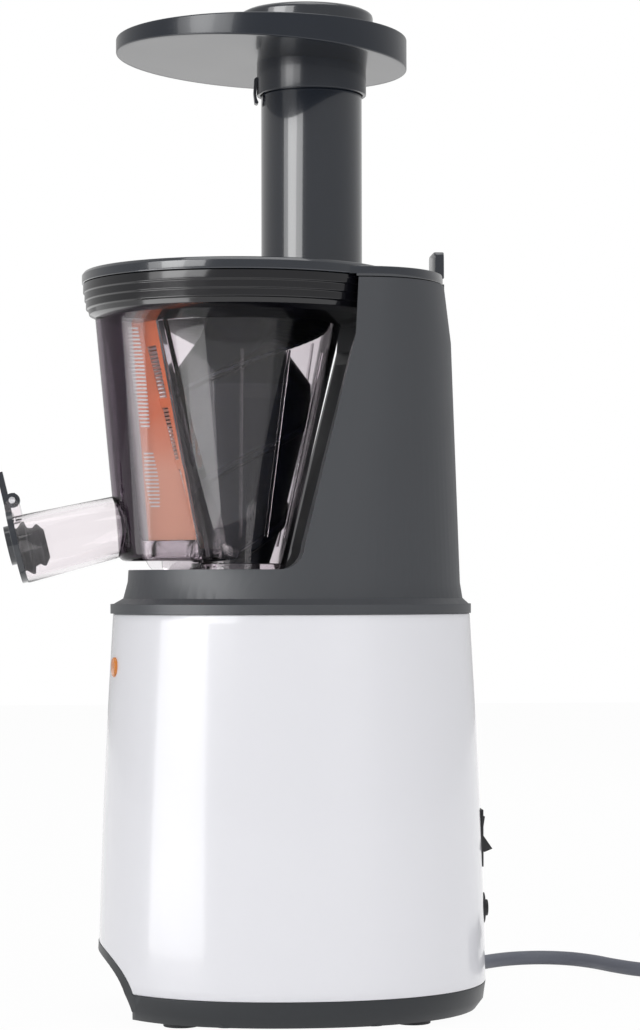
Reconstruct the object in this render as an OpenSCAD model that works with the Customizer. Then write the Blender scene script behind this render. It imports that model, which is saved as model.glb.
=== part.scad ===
// Cold press juicer: a motor base with a rear tower, a clear bowl with its filter and auger,
// a lid with a feed tube, a food tray and a pusher. Millimetres, +Z up, the front towards -Y.

/* [Body] */
// Half of the body's width at the bottom of the white shell
body_half_w = 70; // [60:0.5:85]
// Half of the body's depth at the bottom of the white shell
body_half_d = 83; // [75:0.5:100]
// How much narrower the shell is at its top, on each side
shell_draft_x = 5.5; // [0:0.5:9]
// How much shallower the shell is at its top, at the front and at the back
shell_draft_y = 6.3; // [0:0.1:9]
// How square the body's plan is: 2 is an ellipse
plan_power = 2.2; // [2:0.1:3]
// Height of the rubber feet below the base
foot_h = 2; // [1.5:0.5:5]
// Diameter of a rubber foot
foot_d = 15; // [10:1:20]
// Height of the dark base moulding
base_h = 11; // [9:0.5:16]
// Height of the white shell
shell_h = 156.5; // [150:0.5:190]
// Wall of the shell and of the housings
wall = 2.6; // [2:0.1:3.2]
// Half width of the arch in the front of the base
arch_half_w = 42; // [30:1:46]
// Height of the arch above the base moulding
arch_rise = 14; // [10:1:26]
// Depth of the arch behind the front of the shell
arch_depth = 15; // [8:1:20]
// Width of the dark border round the arch
arch_border = 3.5; // [2.6:0.1:5]
// Diameter of the plain badge on the front
badge_d = 8.4; // [6:0.2:12]
// Height of the badge below the top of the shell
badge_drop = 22.5; // [15:0.5:40]

/* [Housing and tower] */
// Height of the dark band above the white shell
band_h = 4; // [3:0.5:8]
// Height of the seat block above the band
seat_h = 14.5; // [12:0.5:20]
// Half width of the seat block
seat_half_w = 58; // [54:0.5:62]
// How far the tower ends below the lid's underside
tower_drop = 1.5; // [0:0.5:4]
// Half width of the tower at its top
tower_half_w = 51; // [46:0.5:56]
// Depth of the tower at its top, behind the bowl's axis
tower_reach = 88.5; // [82:0.5:94]
// Radius of the tower's pocket round the bowl's rim
pocket_r = 69; // [68.2:0.1:72]

/* [Bowl] */
// Inner radius of the bowl's cone at the top
cone_r_top = 42.5; // [40:0.5:46]
// Inner radius of the bowl's cone at the bottom
cone_r_low = 18; // [17:0.5:21]
// Height of the cone
cone_h = 106; // [95:1:115]
// Wall of the bowl
bowl_wall = 2; // [1.6:0.1:2.6]
// Outer radius of the bowl's rim
rim_r = 66.5; // [64:0.5:68]
// Height of the bowl's rim
rim_h = 17; // [16.5:0.5:20]
// Half width of the juice chamber at the top
chamber_half_w = 30; // [27:0.5:34]
// Reach of the juice chamber's front wall from the bowl's axis at the top
chamber_reach_top = 61.5; // [56:0.5:64]
// Reach of the juice chamber's front wall from the bowl's axis at the bottom
chamber_reach_low = 51.5; // [48:0.5:56]
// Outer diameter of the juice spout at its root
spout_d = 25.8; // [22:0.2:30]
// Outer diameter of the juice spout at its mouth
mouth_d = 29.2; // [24:0.2:34]
// Length of the juice spout, measured from inside the chamber
spout_len = 49; // [42:1:56]
// Slope of the juice spout, downwards
spout_slope = 13.5; // [8:0.5:18]
// Bore of the pulp outlet
pulp_bore_d = 15; // [12:0.5:17]
// Reach of the pulp outlet from the bowl's axis
pulp_reach = 78; // [70:1:84]

/* [Auger] */
// Radius of the auger's core at its neck, at the top
core_r_top = 12; // [9:0.5:16]
// Radius of the auger's core where it is widest
core_r_wide = 26; // [20:0.5:28]
// Radius of the auger's core at the bottom
core_r_low = 13; // [11:0.5:15]
// Clearance between the auger's flights and the cone
auger_gap = 1.0; // [0.8:0.1:2]
// Turns that a flight makes from top to bottom
flight_turns = 1.25; // [0.75:0.25:2]
// Size across the flats of the drive's hexagon
hex_af = 10; // [8:0.5:12]

/* [Lid, tray and pusher] */
// Thickness of the lid's rim
lid_h = 5; // [4:0.5:7]
// Outer radius of the feed tube
tube_r = 21.7; // [20:0.1:24]
// Wall of the feed tube
tube_wall = 2; // [1.6:0.1:2.6]
// Distance of the feed tube behind the bowl's axis
tube_offset = 31.8; // [30:0.1:34]
// Height of the feed tube above the lid
tube_h = 91.4; // [82:0.2:104]
// Radius of the food tray
tray_r = 62.6; // [56:0.1:66]
// Distance of the tray's centre in front of the feed tube
tray_offset = 21.6; // [18:0.1:26]
// Height of the tray's rim at its front
tray_rim_h = 6.4; // [4.6:0.1:8]
// Slope of the tray's floor, down to the back
tray_slope = 3.2; // [2:0.1:4.4]
// Radius of the pusher's cap
cap_r = 29; // [27:0.5:33]

/* [Drive] */
// Teeth on each small gear
pinion_teeth = 12; // [10:1:14]
// Teeth on each large gear
gear_teeth = 60; // [54:1:62]
// Module of the first gear pair
module_1 = 0.8; // [0.7:0.05:0.85]
// Module of the second gear pair
module_2 = 1; // [0.9:0.05:1.05]
// Width of the first gear pair
gear_w_1 = 8; // [6:0.5:9]
// Width of the second gear pair
gear_w_2 = 12; // [8:0.5:13]
// Radius of the motor's stator
motor_r = 31; // [27:0.5:33]
// Height of the motor's stator
stator_h = 42; // [34:1:48]
// Radius of the drive shaft
shaft_r = 5; // [4:0.25:6]

/* [Back and cord] */
// Height of the rocker switch above the table
rocker_z = 73; // [60:1:90]
// Width of the rocker switch
rocker_w = 14; // [10:1:18]
// Height of the reset button above the table
reset_z = 42.5; // [34:0.5:50]
// Diameter of the reset button
reset_d = 8; // [6:0.5:10]
// Diameter of the mains cord
cord_d = 6.5; // [5:0.1:8]
// Turns in the stored coil of cord
coil_turns = 4.5; // [3.5:1:6.5]

/* [Hidden] */

// Clearances and fits
slide_gap = 0.3;        // between pieces that lift off each other
press = 0.3;            // how far a pressed piece sits in its neighbour
pin_gap = 0.08;         // radial clearance of a pin or shaft in its bore
gear_gap = 0.12;        // play on each flank of a gear tooth
lay_gap = 0.2;          // between stacked pieces that lift apart
fine = 96;

// Places, from the table up
bowl_y = -4.5;
body_y = 18;
base_top = foot_h + base_h;
shell_top = base_top + shell_h;
band_top = shell_top + band_h;
seat_top = band_top + seat_h;
top_half_w = body_half_w - shell_draft_x;
top_half_d = body_half_d - shell_draft_y;
bowl_floor = seat_top + lay_gap + 2.5;
cone_top = bowl_floor + cone_h - 3;
rim_top = cone_top - 0.4 + rim_h;
lid_bottom = rim_top + lay_gap;
tower_top = lid_bottom - tower_drop;
lid_top = lid_bottom + lid_h;
tube_y = bowl_y + tube_offset;
tube_top = lid_top + tube_h;
tray_y = tube_y - tray_offset;

// A plan outline: an oval of half sizes a and b whose squareness is plan_power
function oval(a, b, n = fine) = [for (i = [0 : n - 1]) let (t = 360 * i / n)
    [a * sign(cos(t)) * pow(abs(cos(t)), 2 / plan_power),
     b * sign(sin(t)) * pow(abs(sin(t)), 2 / plan_power)]];
// How far the oval reaches along Y at a given X
function oval_y(a, b, x) = b * pow(1 - pow(abs(x) / a, plan_power), 1 / plan_power);

module slice(a, b, y, z, n = fine) {
    translate([0, y, z]) linear_extrude(0.01) polygon(oval(a, b, n));
}
module disc(r, h, z = 0) { translate([0, 0, z]) cylinder(r = r, h = h, $fn = fine); }
module at_bowl() { translate([0, bowl_y, 0]) children(); }
module at_tube() { translate([0, tube_y, 0]) children(); }

// ---------------------------------------------------------------- white body
shell_lip = 0.01;
module shell_space(inset, low = base_top, high = shell_top) {
    rise = (low - base_top) / shell_h;
    hull() {
        slice(body_half_w - shell_draft_x * rise - inset,
            body_half_d - shell_draft_y * rise - inset, body_y, low);
        slice(top_half_w - inset, top_half_d - inset, body_y, high - shell_lip);
    }
}
arch_top = base_top + arch_rise;
arch_back = body_y - body_half_d + arch_depth;
// The arch's outline across the front: a flat-topped curve that ends square to the table
arch_power = 2.6;
module arch_space(grow, back) {
    pts = [for (i = [0 : 32]) let (t = 180 * i / 32)
        [(arch_half_w + grow) * sign(cos(t)) * pow(abs(cos(t)), 2 / arch_power),
         (arch_top + grow) * pow(sin(t), 2 / arch_power)]];
    translate([0, back, 0]) rotate([90, 0, 0]) linear_extrude(body_half_d)
        polygon(concat([[-arch_half_w - grow, -1]], [for (p = pts) [-p[0], p[1]]],
            [[arch_half_w + grow, -1]]));
}
badge_z = shell_top - badge_drop;
badge_turn = 17;
badge_in = 1.2;
module at_badge() {
    rise = (badge_z - base_top) / shell_h;
    half_w = body_half_w - shell_draft_x * rise;
    half_d = body_half_d - shell_draft_y * rise;
    x = half_w * sin(badge_turn) * 0.93;
    translate([x, body_y - oval_y(half_w, half_d, x), badge_z])
        rotate([90, 0, 12]) children();
}
rear_y = body_y + body_half_d;
rocker_h = 21;
function rear_at(z) = rear_y - shell_draft_y * (z - base_top) / shell_h;
module body_shell() {
    color("#e9e9ee") difference() {
        shell_space(0);
        shell_space(wall, base_top - 0.5, shell_top + 1);
        arch_space(arch_border, arch_back + wall + slide_gap);
        at_badge() translate([0, 0, -badge_in]) cylinder(d = badge_d + 0.1, h = 5, $fn = 48);
        translate([-rocker_w / 2, rear_y - 14, rocker_z - rocker_h / 2])
            cube([rocker_w, 24, rocker_h]);
        translate([0, rear_y + 5, reset_z]) rotate([90, 0, 0])
            cylinder(d = reset_d + 2, h = 20, $fn = 48);
    }
    // bosses for the base's screws, and studs for the control board
    color("#e9e9ee") difference() {
        intersection() {
            union() {
                screw_places() translate([0, 0, post_top + 0.1]) cylinder(d = boss_d, h = 16,
                    $fn = 48);
                for (s = [-1, 1], y = [body_y - screw_y, body_y + screw_y])
                    translate([s > 0 ? screw_x : -body_half_w, y - 1.5, post_top + 0.1])
                    cube([body_half_w - screw_x, 3, 16]);
                for (y = [board_y - 14, board_y + 14], z = [board_z + 5, board_z + 45])
                    translate([-body_half_w, y, z]) rotate([0, 90, 0])
                    cylinder(d = 5, h = body_half_w + board_x, $fn = 32);
            }
            shell_space(wall - 0.5);
        }
        screw_places() cylinder(d = screw_d - 0.3, h = post_top + 10, $fn = 32);
    }
}
module front_badge() {
    color("#cd7d2d") at_badge() translate([0, 0, -badge_in])
        cylinder(d = badge_d, h = badge_in + 0.5, $fn = 48);
}

// ---------------------------------------------------------------- base
cord_exit_x = -55;
cord_exit_y = body_y + oval_y(body_half_w, body_half_d, cord_exit_x);
cord_exit_z = 7.2;
cord_turn = 145;
gland_d = 9;
module at_gland() {
    translate([cord_exit_x, cord_exit_y, cord_exit_z]) rotate([0, 0, cord_turn])
        rotate([0, 90, 0]) children();
}
foot_x = 42;
foot_y = 48;
foot_inset = 1.2;
module foot_places() {
    for (x = [-foot_x, foot_x], y = [body_y - foot_y, body_y + foot_y])
        translate([x, y, 0]) children();
}
screw_x = body_half_w - 11.5;
screw_y = 30;
post_top = base_top + 5;
module screw_places() {
    for (x = [-screw_x, screw_x], y = [body_y - screw_y, body_y + screw_y])
        translate([x, y, 0]) children();
}
screw_d = 3.5;
boss_d = 9;
base_edge = 4;
motor_ang_1 = 128;
motor_ang_2 = 52;
gear_dist_1 = module_1 * (pinion_teeth + gear_teeth) / 2;
gear_dist_2 = module_2 * (pinion_teeth + gear_teeth) / 2;
mid_x = gear_dist_2 * cos(motor_ang_1);
mid_y = bowl_y + gear_dist_2 * sin(motor_ang_1);
motor_x = mid_x + gear_dist_1 * cos(motor_ang_2);
motor_y = mid_y + gear_dist_1 * sin(motor_ang_2);
module at_mid() { translate([mid_x, mid_y, 0]) children(); }
module at_motor() { translate([motor_x, motor_y, 0]) children(); }
vent_count = 9;
vent_pitch = 6;
module base_moulding() {
    floor_top = foot_h + wall;
    color("#3e4246") difference() {
        union() {
            hull() {
                slice(body_half_w - base_edge, body_half_d - base_edge, body_y, foot_h);
                slice(body_half_w - 1, body_half_d - 1, body_y, foot_h + base_edge);
                slice(body_half_w, body_half_d, body_y, base_top - 0.01);
            }
            // spigot that locates the shell
            translate([0, body_y, 0]) difference() {
                translate([0, 0, floor_top]) linear_extrude(post_top - 0.4 - floor_top)
                    polygon(oval(body_half_w - wall - 0.4, body_half_d - wall - 0.4));
                translate([0, 0, floor_top]) linear_extrude(base_h + 9)
                    polygon(oval(body_half_w - 2 * wall - 0.4, body_half_d - 2 * wall - 0.4));
            }
            screw_places() translate([0, 0, foot_h]) cylinder(d = boss_d, h = post_top - foot_h,
                $fn = 48);
        }
        difference() {
            hull() {
                slice(body_half_w - base_edge - wall, body_half_d - base_edge - wall, body_y,
                    floor_top);
                slice(body_half_w - 2 * wall - 0.4, body_half_d - 2 * wall - 0.4, body_y,
                    base_top + 1);
            }
            arch_space(arch_border, arch_back + wall);
            screw_places() cylinder(d = boss_d, h = post_top, $fn = 48);
        }
        arch_space(0, arch_back);
        for (i = [0 : vent_count - 1])
            translate([-20, body_y + 24 + (i - (vent_count - 1) / 2) * vent_pitch - 1, foot_h - 1])
                cube([40, 2, wall + 3]);
        foot_places() translate([0, 0, foot_h - 0.01])
            cylinder(d = foot_d + 0.2, h = foot_inset, $fn = 48);
        screw_places() {
            translate([0, 0, foot_h - 1]) cylinder(d = screw_d + 0.4, h = post_top, $fn = 32);
            translate([0, 0, foot_h - 1]) cylinder(d = 7.4, h = 2.2, $fn = 32);
        }
        at_gland() translate([0, 0, -12]) cylinder(d = gland_d - 1.6, h = 24, $fn = 48);
    }
    // the arch's own walls and its border, flush with the shell
    color("#3e4246") difference() {
        intersection() {
            arch_space(arch_border - 0.02, arch_back + wall);
            shell_space(0, base_top - 0.01);
        }
        arch_space(0, arch_back);
    }
}
module rubber_feet() {
    color("#2b2d30") foot_places() cylinder(d = foot_d, h = foot_h + foot_inset - 0.01, $fn = 48);
}
module base_screws() {
    color("#9a9da1") screw_places() {
        translate([0, 0, foot_h]) cylinder(d = 7, h = 1.1, $fn = 32);
        translate([0, 0, foot_h + 1]) cylinder(d = screw_d, h = post_top + 6, $fn = 32);
    }
}

// ---------------------------------------------------------------- upper housing
// The seat block's front and back, measured from the middle of the body
seat_front = 70.6;
seat_back = 73;
seat_d = (seat_front + seat_back) / 2;
seat_y = body_y + (seat_back - seat_front) / 2;
tower_back_y = bowl_y + tower_reach;
tower_front_y = 6;
tower_d = (tower_back_y - tower_front_y) / 2;
tower_y = (tower_back_y + tower_front_y) / 2;
// Part of the way up, where the tower is fuller than the straight line between its ends
tower_full = 0.8;
fullness = 1.6;
tower_full_w = tower_full * tower_half_w + (1 - tower_full) * seat_half_w + fullness;
tower_full_d = tower_full * tower_d + (1 - tower_full) * seat_d + fullness;
tower_full_y = tower_full * tower_y + (1 - tower_full) * seat_y;
// The tower's sloping front: its place at the seat and at the rim's pocket
slope_low_y = bowl_y + 25;
slope_top_y = bowl_y + 46.5;
slope_corner = 10;
pocket_floor = cone_top - 8;
recess_r_low = 51;
module bowl_space(grow) {
    low = seat_top - grow;
    translate([body_half_w + 1, 0, 0]) rotate([90, 0, -90]) linear_extrude(2 * body_half_w + 2)
        polygon(concat(
            [[200, low], [-slope_low_y - grow + slope_corner, low]],
            [for (t = [90 : -15 : 0]) let (c = slope_corner)
                [-slope_low_y - grow + c - c * cos(t), low + c - c * sin(t)]],
            [[-slope_top_y - grow, pocket_floor], [-slope_top_y - grow - 2, tower_top + 10],
             [200, tower_top + 10]]));
    at_bowl() {
        translate([0, 0, pocket_floor - 6]) cylinder(r1 = pocket_r - 6 + grow,
            r2 = pocket_r + grow, h = 6 + 0.01, $fn = fine);
        translate([0, 0, pocket_floor]) cylinder(r = pocket_r + grow, h = 60, $fn = fine);
        translate([0, 0, low]) cylinder(r1 = recess_r_low - 13 + grow,
            r2 = pocket_r - 6 + grow, h = pocket_floor - 6 - low + 0.01, $fn = fine);
    }
}
// The cove between the band and the seat block: part f of the way from the seat to the shell,
// as two wedges that meet at the knee
cove_h = 7;
cove_foot = 0.9;
cove_knee = 0.2;
cove_knee_h = 2.4;
cove_bite = 0.3;
cove_sink = 0.5;
function mix(a, b, f) = a + (b - a) * f;
module cove_slice(f, z) {
    slice(mix(seat_half_w, top_half_w, f), mix(seat_d, top_half_d, f), mix(seat_y, body_y, f),
        band_top + z);
}
module cove_wedge(f_low, z_low, f_high, z_high) {
    fall = (f_low - f_high) / (z_high - z_low);
    hull() {
        cove_slice(f_low + fall * (z_low + cove_sink), -cove_sink);
        cove_slice(-cove_bite, z_high + (f_high + cove_bite) / fall);
    }
}
module cove() {
    cove_wedge(cove_foot, 0, cove_knee, cove_knee_h);
    cove_wedge(cove_knee, cove_knee_h, 0, cove_h);
}
module housing_outer(inset) {
    low = band_top - (inset > 0 ? band_h + 1 : 0.01);
    hull() {
        slice(seat_half_w - inset, seat_d - inset, seat_y, low);
        slice(seat_half_w - 1 - inset, seat_d - 1 - inset, seat_y, seat_top);
        slice(tower_full_w - inset, tower_full_d - inset, tower_full_y,
            seat_top + tower_full * (tower_top - seat_top));
        slice(tower_half_w - inset, tower_d - inset, tower_y, tower_top - inset);
    }
}
seat_hole_r = 12;
sensor_y = tower_back_y - 12;
module upper_housing() {
    color("#4a4c51") difference() {
        union() {
            slice_h(top_half_w + 0.6, top_half_d + 0.6, shell_top, band_h);
            slice_h(top_half_w - wall - 0.4, top_half_d - wall - 0.4, shell_top - 5, 6);
            difference() {
                housing_outer(0);
                bowl_space(0);
            }
            cove();
        }
        difference() {
            housing_outer(wall);
            bowl_space(wall);
            translate([-100, -100, shell_top - 20]) cube([200, 200, 20 + 3]);
        }
        translate([0, body_y, shell_top - 6]) linear_extrude(6)
            polygon(oval(top_half_w - 2 * wall - 0.4, top_half_d - 2 * wall - 0.4));
        at_bowl() translate([0, 0, shell_top - 10])
            cylinder(r = seat_hole_r, h = 60, $fn = fine);
        at_case_screws() translate([0, 0, shell_top - 1])
            cylinder(r = case_screw_r - 0.2, h = 4, $fn = 32);
        // recess in the tower's back for the lid's tongue
        translate([-tab_w / 2 - 0.6, ext_back - tongue_t - 0.5, tower_top - tongue_h - 6])
            cube([tab_w + 1.2, 20, tongue_h + 10]);
    }
}
module slice_h(a, b, z, h) {
    translate([0, body_y, z]) linear_extrude(h) polygon(oval(a, b));
}
// ---------------------------------------------------------------- gears and gearbox
case_low = 118;
case_t = 3;
gear_z_1 = case_low + 6;
gear_z_2 = gear_z_1 + gear_w_1 + 4;
case_top = gear_z_2 + gear_w_2 + 6;
tooth_add = 0.75;
tooth_ded = 1.05;
press_angle = 20;
function inv(a) = tan(a) * 180 / PI - a;
// Half of a tooth's angle at radius r, for a gear of pitch radius p and n teeth
function half_tooth(p, n, r) = 90 / n - gear_gap / p * 180 / PI + inv(press_angle)
    - inv(r <= p * cos(press_angle) ? 0 : acos(p * cos(press_angle) / r));
// A spur gear's outline, with a tooth centred on +X
module gear_outline(n, m) {
    p = n * m / 2;
    root = p - tooth_ded * m;
    tip = p + tooth_add * m;
    base = max(root + 0.02, p * cos(press_angle));
    radii = [root, base, p, tip];
    polygon([for (i = [0 : n - 1], k = [-4 : 3])
        let (r = radii[k < 0 ? k + 4 : 3 - k], side = k < 0 ? -1 : 1,
            a = 360 * i / n + side * half_tooth(p, n, r))
        [r * cos(a), r * sin(a)]]);
}
module gear(n, m, w, turn, bore_r) {
    difference() {
        rotate([0, 0, turn]) linear_extrude(w) gear_outline(n, m);
        translate([0, 0, -1]) cylinder(r = bore_r, h = w + 2, $fn = 48);
    }
}
// Turns that put a tooth of each small gear into a gap of its large gear
half_pitch = 180 / gear_teeth;
out_turn = motor_ang_1 + half_pitch;
mid_small_turn = motor_ang_1 + 180;
mid_large_turn = motor_ang_2 + half_pitch;
pinion_turn = motor_ang_2 + 180;
mid_pin_r = 3;
motor_shaft_r = 3;
module motor_pinion() {
    color("#8d8f93") at_motor() translate([0, 0, gear_z_1 - 1])
        gear(pinion_teeth, module_1, gear_w_1 + 2, pinion_turn, motor_shaft_r - 0.05);
}
module intermediate_gear() {
    color("#d8d4c8") at_mid() {
        translate([0, 0, gear_z_1])
            gear(gear_teeth, module_1, gear_w_1, mid_large_turn, mid_pin_r + pin_gap);
        translate([0, 0, gear_z_1 + gear_w_1 - 0.01])
            gear(pinion_teeth, module_2, gear_w_2 + 4.01, mid_small_turn, mid_pin_r + pin_gap);
    }
}
module intermediate_pin() {
    color("#b5b8bc") at_mid() disc(mid_pin_r, case_top - case_low - 1.5, case_low + 1);
}
module output_gear() {
    color("#d8d4c8") at_bowl() translate([0, 0, gear_z_2]) difference() {
        gear(gear_teeth, module_2, gear_w_2, out_turn, shaft_r - 0.01);
        for (s = [-1, 1]) translate([0, 0, s > 0 ? gear_w_2 - 3 : -1]) difference() {
            cylinder(r = gear_teeth * module_2 / 2 - 4.5, h = 4, $fn = fine);
            translate([0, 0, -1]) cylinder(r = shaft_r + 5, h = 6, $fn = 48);
        }
    }
}
hex_r = hex_af / 2 / cos(30);
hex_low = seat_top - 2;
hex_top = seat_top + 17;
module drive_shaft() {
    color("#b5b8bc") at_bowl() {
        disc(shaft_r, hex_low - case_low - 1.2, case_low + 1.2);
        translate([0, 0, hex_low - 0.01]) cylinder(r = hex_r, h = hex_top - hex_low, $fn = 6);
    }
}
bush_r = shaft_r + 2.5;
module shaft_bush() {
    color("#a98a52") at_bowl() {
        for (z = [case_low + 1, case_top - 2.5]) difference() {
            disc(bush_r, 5, z);
            disc(shaft_r + pin_gap, 7, z - 1);
        }
    }
}
module shaft_seal() {
    color("#26282b") at_bowl() difference() {
        disc(seat_hole_r + press, 5, seat_top - 5);
        disc(hex_r + 0.35, 9, seat_top - 7);
    }
}
// The case's plan: a rounded outline round both gears and the motor's shaft
module case_plan(grow) {
    translate([0, bowl_y]) circle(r = 34.5 + grow, $fn = fine);
    translate([mid_x, mid_y]) circle(r = 28 + grow, $fn = fine);
    translate([motor_x, motor_y]) circle(r = 12 + grow, $fn = fine);
}
case_screw_r = 2;
case_screws = [[-37.5, -9], [34, 14], [-46, 44], [12, 51.5], [0, -43.5]];
module at_case_screws() {
    for (p = case_screws) translate([p[0], p[1], 0]) children();
}
module gearbox_case() {
    color("#a6a9ad") difference() {
        union() {
            translate([0, 0, case_low]) linear_extrude(case_top - case_low - case_t) case_plan(case_t);
            at_case_screws() translate([0, 0, case_low])
                cylinder(r = 5, h = case_top - case_low - case_t, $fn = 48);
        }
        difference() {
            translate([0, 0, case_low + case_t]) linear_extrude(case_top) case_plan(0);
            at_bowl() disc(bush_r + 2.5, 4, case_low);
            at_mid() disc(mid_pin_r + 3, 5.4, case_low);
        }
        at_case_screws() translate([0, 0, case_low + 6])
            cylinder(r = case_screw_r - 0.1, h = 60, $fn = 32);
        at_bowl() disc(bush_r - 0.05, 6, case_low + 1);
        at_mid() disc(mid_pin_r - 0.02, 9, case_low + 1);
        at_motor() disc(9, 10, case_low - 1);
    }
}
module gearbox_cover() {
    low = case_top - case_t;
    color("#a6a9ad") difference() {
        union() {
            translate([0, 0, low]) linear_extrude(case_t) case_plan(case_t);
            at_case_screws() translate([0, 0, low]) cylinder(r = 5, h = case_t, $fn = 48);
            at_bowl() disc(bush_r + 2.5, 6, low);
            // ears that hang the gearbox from the housing's deck
            for (p = case_screws) translate([p[0], p[1], low])
                cylinder(r = 4.2, h = shell_top - low, $fn = 48);
        }
        at_bowl() disc(bush_r - 0.05, 9, low - 1);
        at_mid() disc(mid_pin_r - 0.02, 3.6, low - 1);
        at_case_screws() translate([0, 0, low - 1])
            cylinder(r = case_screw_r + 0.2, h = 40, $fn = 32);
    }
}
module gearbox_screws() {
    color("#8d8f93") at_case_screws() {
        translate([0, 0, case_low + 8]) cylinder(r = case_screw_r,
            h = shell_top + 2.5 - case_low - 8, $fn = 32);
    }
}

// ---------------------------------------------------------------- motor
stator_low = 58;
stator_top = stator_low + stator_h;
rotor_r = 15;
slot_gap = 0.5;
module motor_stator() {
    color("#7c7f84") at_motor() difference() {
        disc(motor_r, stator_h, stator_low);
        disc(rotor_r + slot_gap, stator_h + 2, stator_low - 1);
        for (a = [0 : 90 : 270]) rotate([0, 0, a + 45]) translate([rotor_r + 2.5, -6, stator_low - 1])
            cube([8, 12, stator_h + 2]);
    }
}
coil_over = 9;
module motor_windings() {
    color("#b0622a") at_motor() for (a = [0 : 90 : 270]) rotate([0, 0, a + 45])
        translate([rotor_r + 3, -5.5, stator_low - coil_over])
            cube([7, 11, stator_h + 2 * coil_over]);
}
bracket_t = 4;
bearing_r = 8;
bracket_low = stator_low - coil_over - bracket_t - 1;
bracket_high = case_low - bracket_t;
module motor_bracket(z) {
    difference() {
        disc(motor_r, bracket_t, z);
        disc(bearing_r, bracket_t + 2, z - 1);
        for (a = [0 : 60 : 300]) rotate([0, 0, a]) translate([20, 0, z - 1])
            cylinder(r = 5.5, h = bracket_t + 2, $fn = 32);
    }
}
post_r = 2.5;
module motor_brackets() {
    color("#a6a9ad") at_motor() {
        motor_bracket(bracket_low);
        motor_bracket(bracket_high);
        for (a = [0 : 90 : 270]) rotate([0, 0, a]) {
            translate([motor_r - 3.4, 0, bracket_low + bracket_t - 0.5])
                cylinder(r = post_r, h = stator_low - bracket_low - bracket_t + 0.5, $fn = 32);
            translate([motor_r - 3.4, 0, stator_top])
                cylinder(r = post_r, h = bracket_high - stator_top + 0.5, $fn = 32);
        }
    }
}
module motor_bearings() {
    color("#b5b8bc") at_motor() for (z = [bracket_low, bracket_high]) difference() {
        disc(bearing_r, bracket_t, z);
        disc(motor_shaft_r + pin_gap, bracket_t + 2, z - 1);
    }
}
module motor_shaft() {
    color("#b5b8bc") at_motor() disc(motor_shaft_r, gear_z_1 + gear_w_1 + 2 - 22, 22);
}
module motor_rotor() {
    color("#6a6d72") at_motor() difference() {
        union() {
            disc(rotor_r, stator_h, stator_low);
            disc(9, stator_h + 8, stator_low - 4);
        }
        disc(motor_shaft_r - 0.05, stator_h + 20, stator_low - 10);
    }
}
fan_z = 26;
fan_blades = 8;
module cooling_fan() {
    color("#3c3f44") at_motor() difference() {
        union() {
            disc(7, 12, fan_z);
            disc(26, 1.6, fan_z + 10.4);
            for (a = [0 : 360 / fan_blades : 359]) rotate([0, 0, a]) translate([5, -0.8, fan_z])
                cube([20, 1.6, 11]);
        }
        disc(motor_shaft_r - 0.05, 20, fan_z - 2);
    }
}

// ---------------------------------------------------------------- electrics
board_z = 66;
board_x = -59.5;
board_y = body_y;
module control_board() {
    translate([board_x, board_y, board_z]) {
        color("#2f6b45") translate([0.01, -20, 0]) cube([1.6, 40, 50]);
        color("#33363a") {
            translate([1.6, -14, 6]) cube([12, 14, 18]);
            translate([1.6, 4, 6]) cube([9, 10, 14]);
            translate([1.6, -12, 30]) cube([7, 22, 10]);
        }
    }
}
sensor_top = tower_top - wall;
module lid_sensor() {
    color("#2f6b45") translate([-7, sensor_y - 4.5, sensor_top - 4]) cube([14, 9, 1.6]);
    color("#33363a") translate([-5, sensor_y - 3, sensor_top - 2.5]) cube([10, 5, 2.5]);
}
rocker_rear = rear_at(rocker_z);
bezel_lift = 0.55;      // clears the shell, which leans inwards
bezel_t = 0.9;
rocker_axis_y = rocker_rear - 5;
module switch_housing() {
    color("#26282b") difference() {
        union() {
            translate([-rocker_w / 2, rocker_rear - 20, rocker_z - rocker_h / 2])
                cube([rocker_w, 20 + bezel_lift + 0.1, rocker_h]);
            translate([-rocker_w / 2 - 1.6, rocker_rear + bezel_lift,
                rocker_z - rocker_h / 2 - 1.6]) cube([rocker_w + 3.2, bezel_t, rocker_h + 3.2]);
        }
        translate([-rocker_w / 2 + 1.4, rocker_rear - 12, rocker_z - rocker_h / 2 + 1.4])
            cube([rocker_w - 2.8, 20, rocker_h - 2.8]);
        translate([-rocker_w, rocker_axis_y, rocker_z]) rotate([0, 90, 0])
            cylinder(r = 1.3, h = 2 * rocker_w, $fn = 32);
    }
}
rocker_tilt = 13;
module power_rocker() {
    half = rocker_h / 2 - 2.8;
    color("#232326") translate([0, rocker_axis_y, rocker_z]) {
        rotate([rocker_tilt, 0, 0]) translate([-rocker_w / 2 + 1.8, 0, 0])
            rotate([90, 0, 90]) linear_extrude(rocker_w - 3.6)
            polygon([[-3, -4], [-3, 4], [5.8, half], [9.4, half - 0.6], [6.6, 0],
                [9.4, -half + 0.6], [5.8, -half]]);
        translate([-rocker_w / 2 + 0.2, 0, 0]) rotate([0, 90, 0])
            cylinder(r = 1.3 - pin_gap, h = rocker_w - 0.4, $fn = 32);
    }
}
reset_rear = rear_at(reset_z);
reset_out = 3;
module at_reset() { translate([0, reset_rear, reset_z]) rotate([-90, 0, 0]) children(); }
module reset_housing() {
    color("#26282b") at_reset() difference() {
        union() {
            translate([0, 0, -22]) cylinder(d = reset_d + 2, h = 22.6, $fn = 48);
            translate([0, 0, bezel_lift]) cylinder(d = reset_d + 5, h = bezel_t, $fn = 48);
        }
        translate([0, 0, -14]) cylinder(d = reset_d - 1 + 2 * pin_gap, h = 20, $fn = 48);
    }
}
module reset_button() {
    color("#1d1e20") at_reset() {
        translate([0, 0, -6]) cylinder(d = reset_d - 1, h = 6 + reset_out, $fn = 48);
    }
}
spring_r = 2.4;
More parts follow.
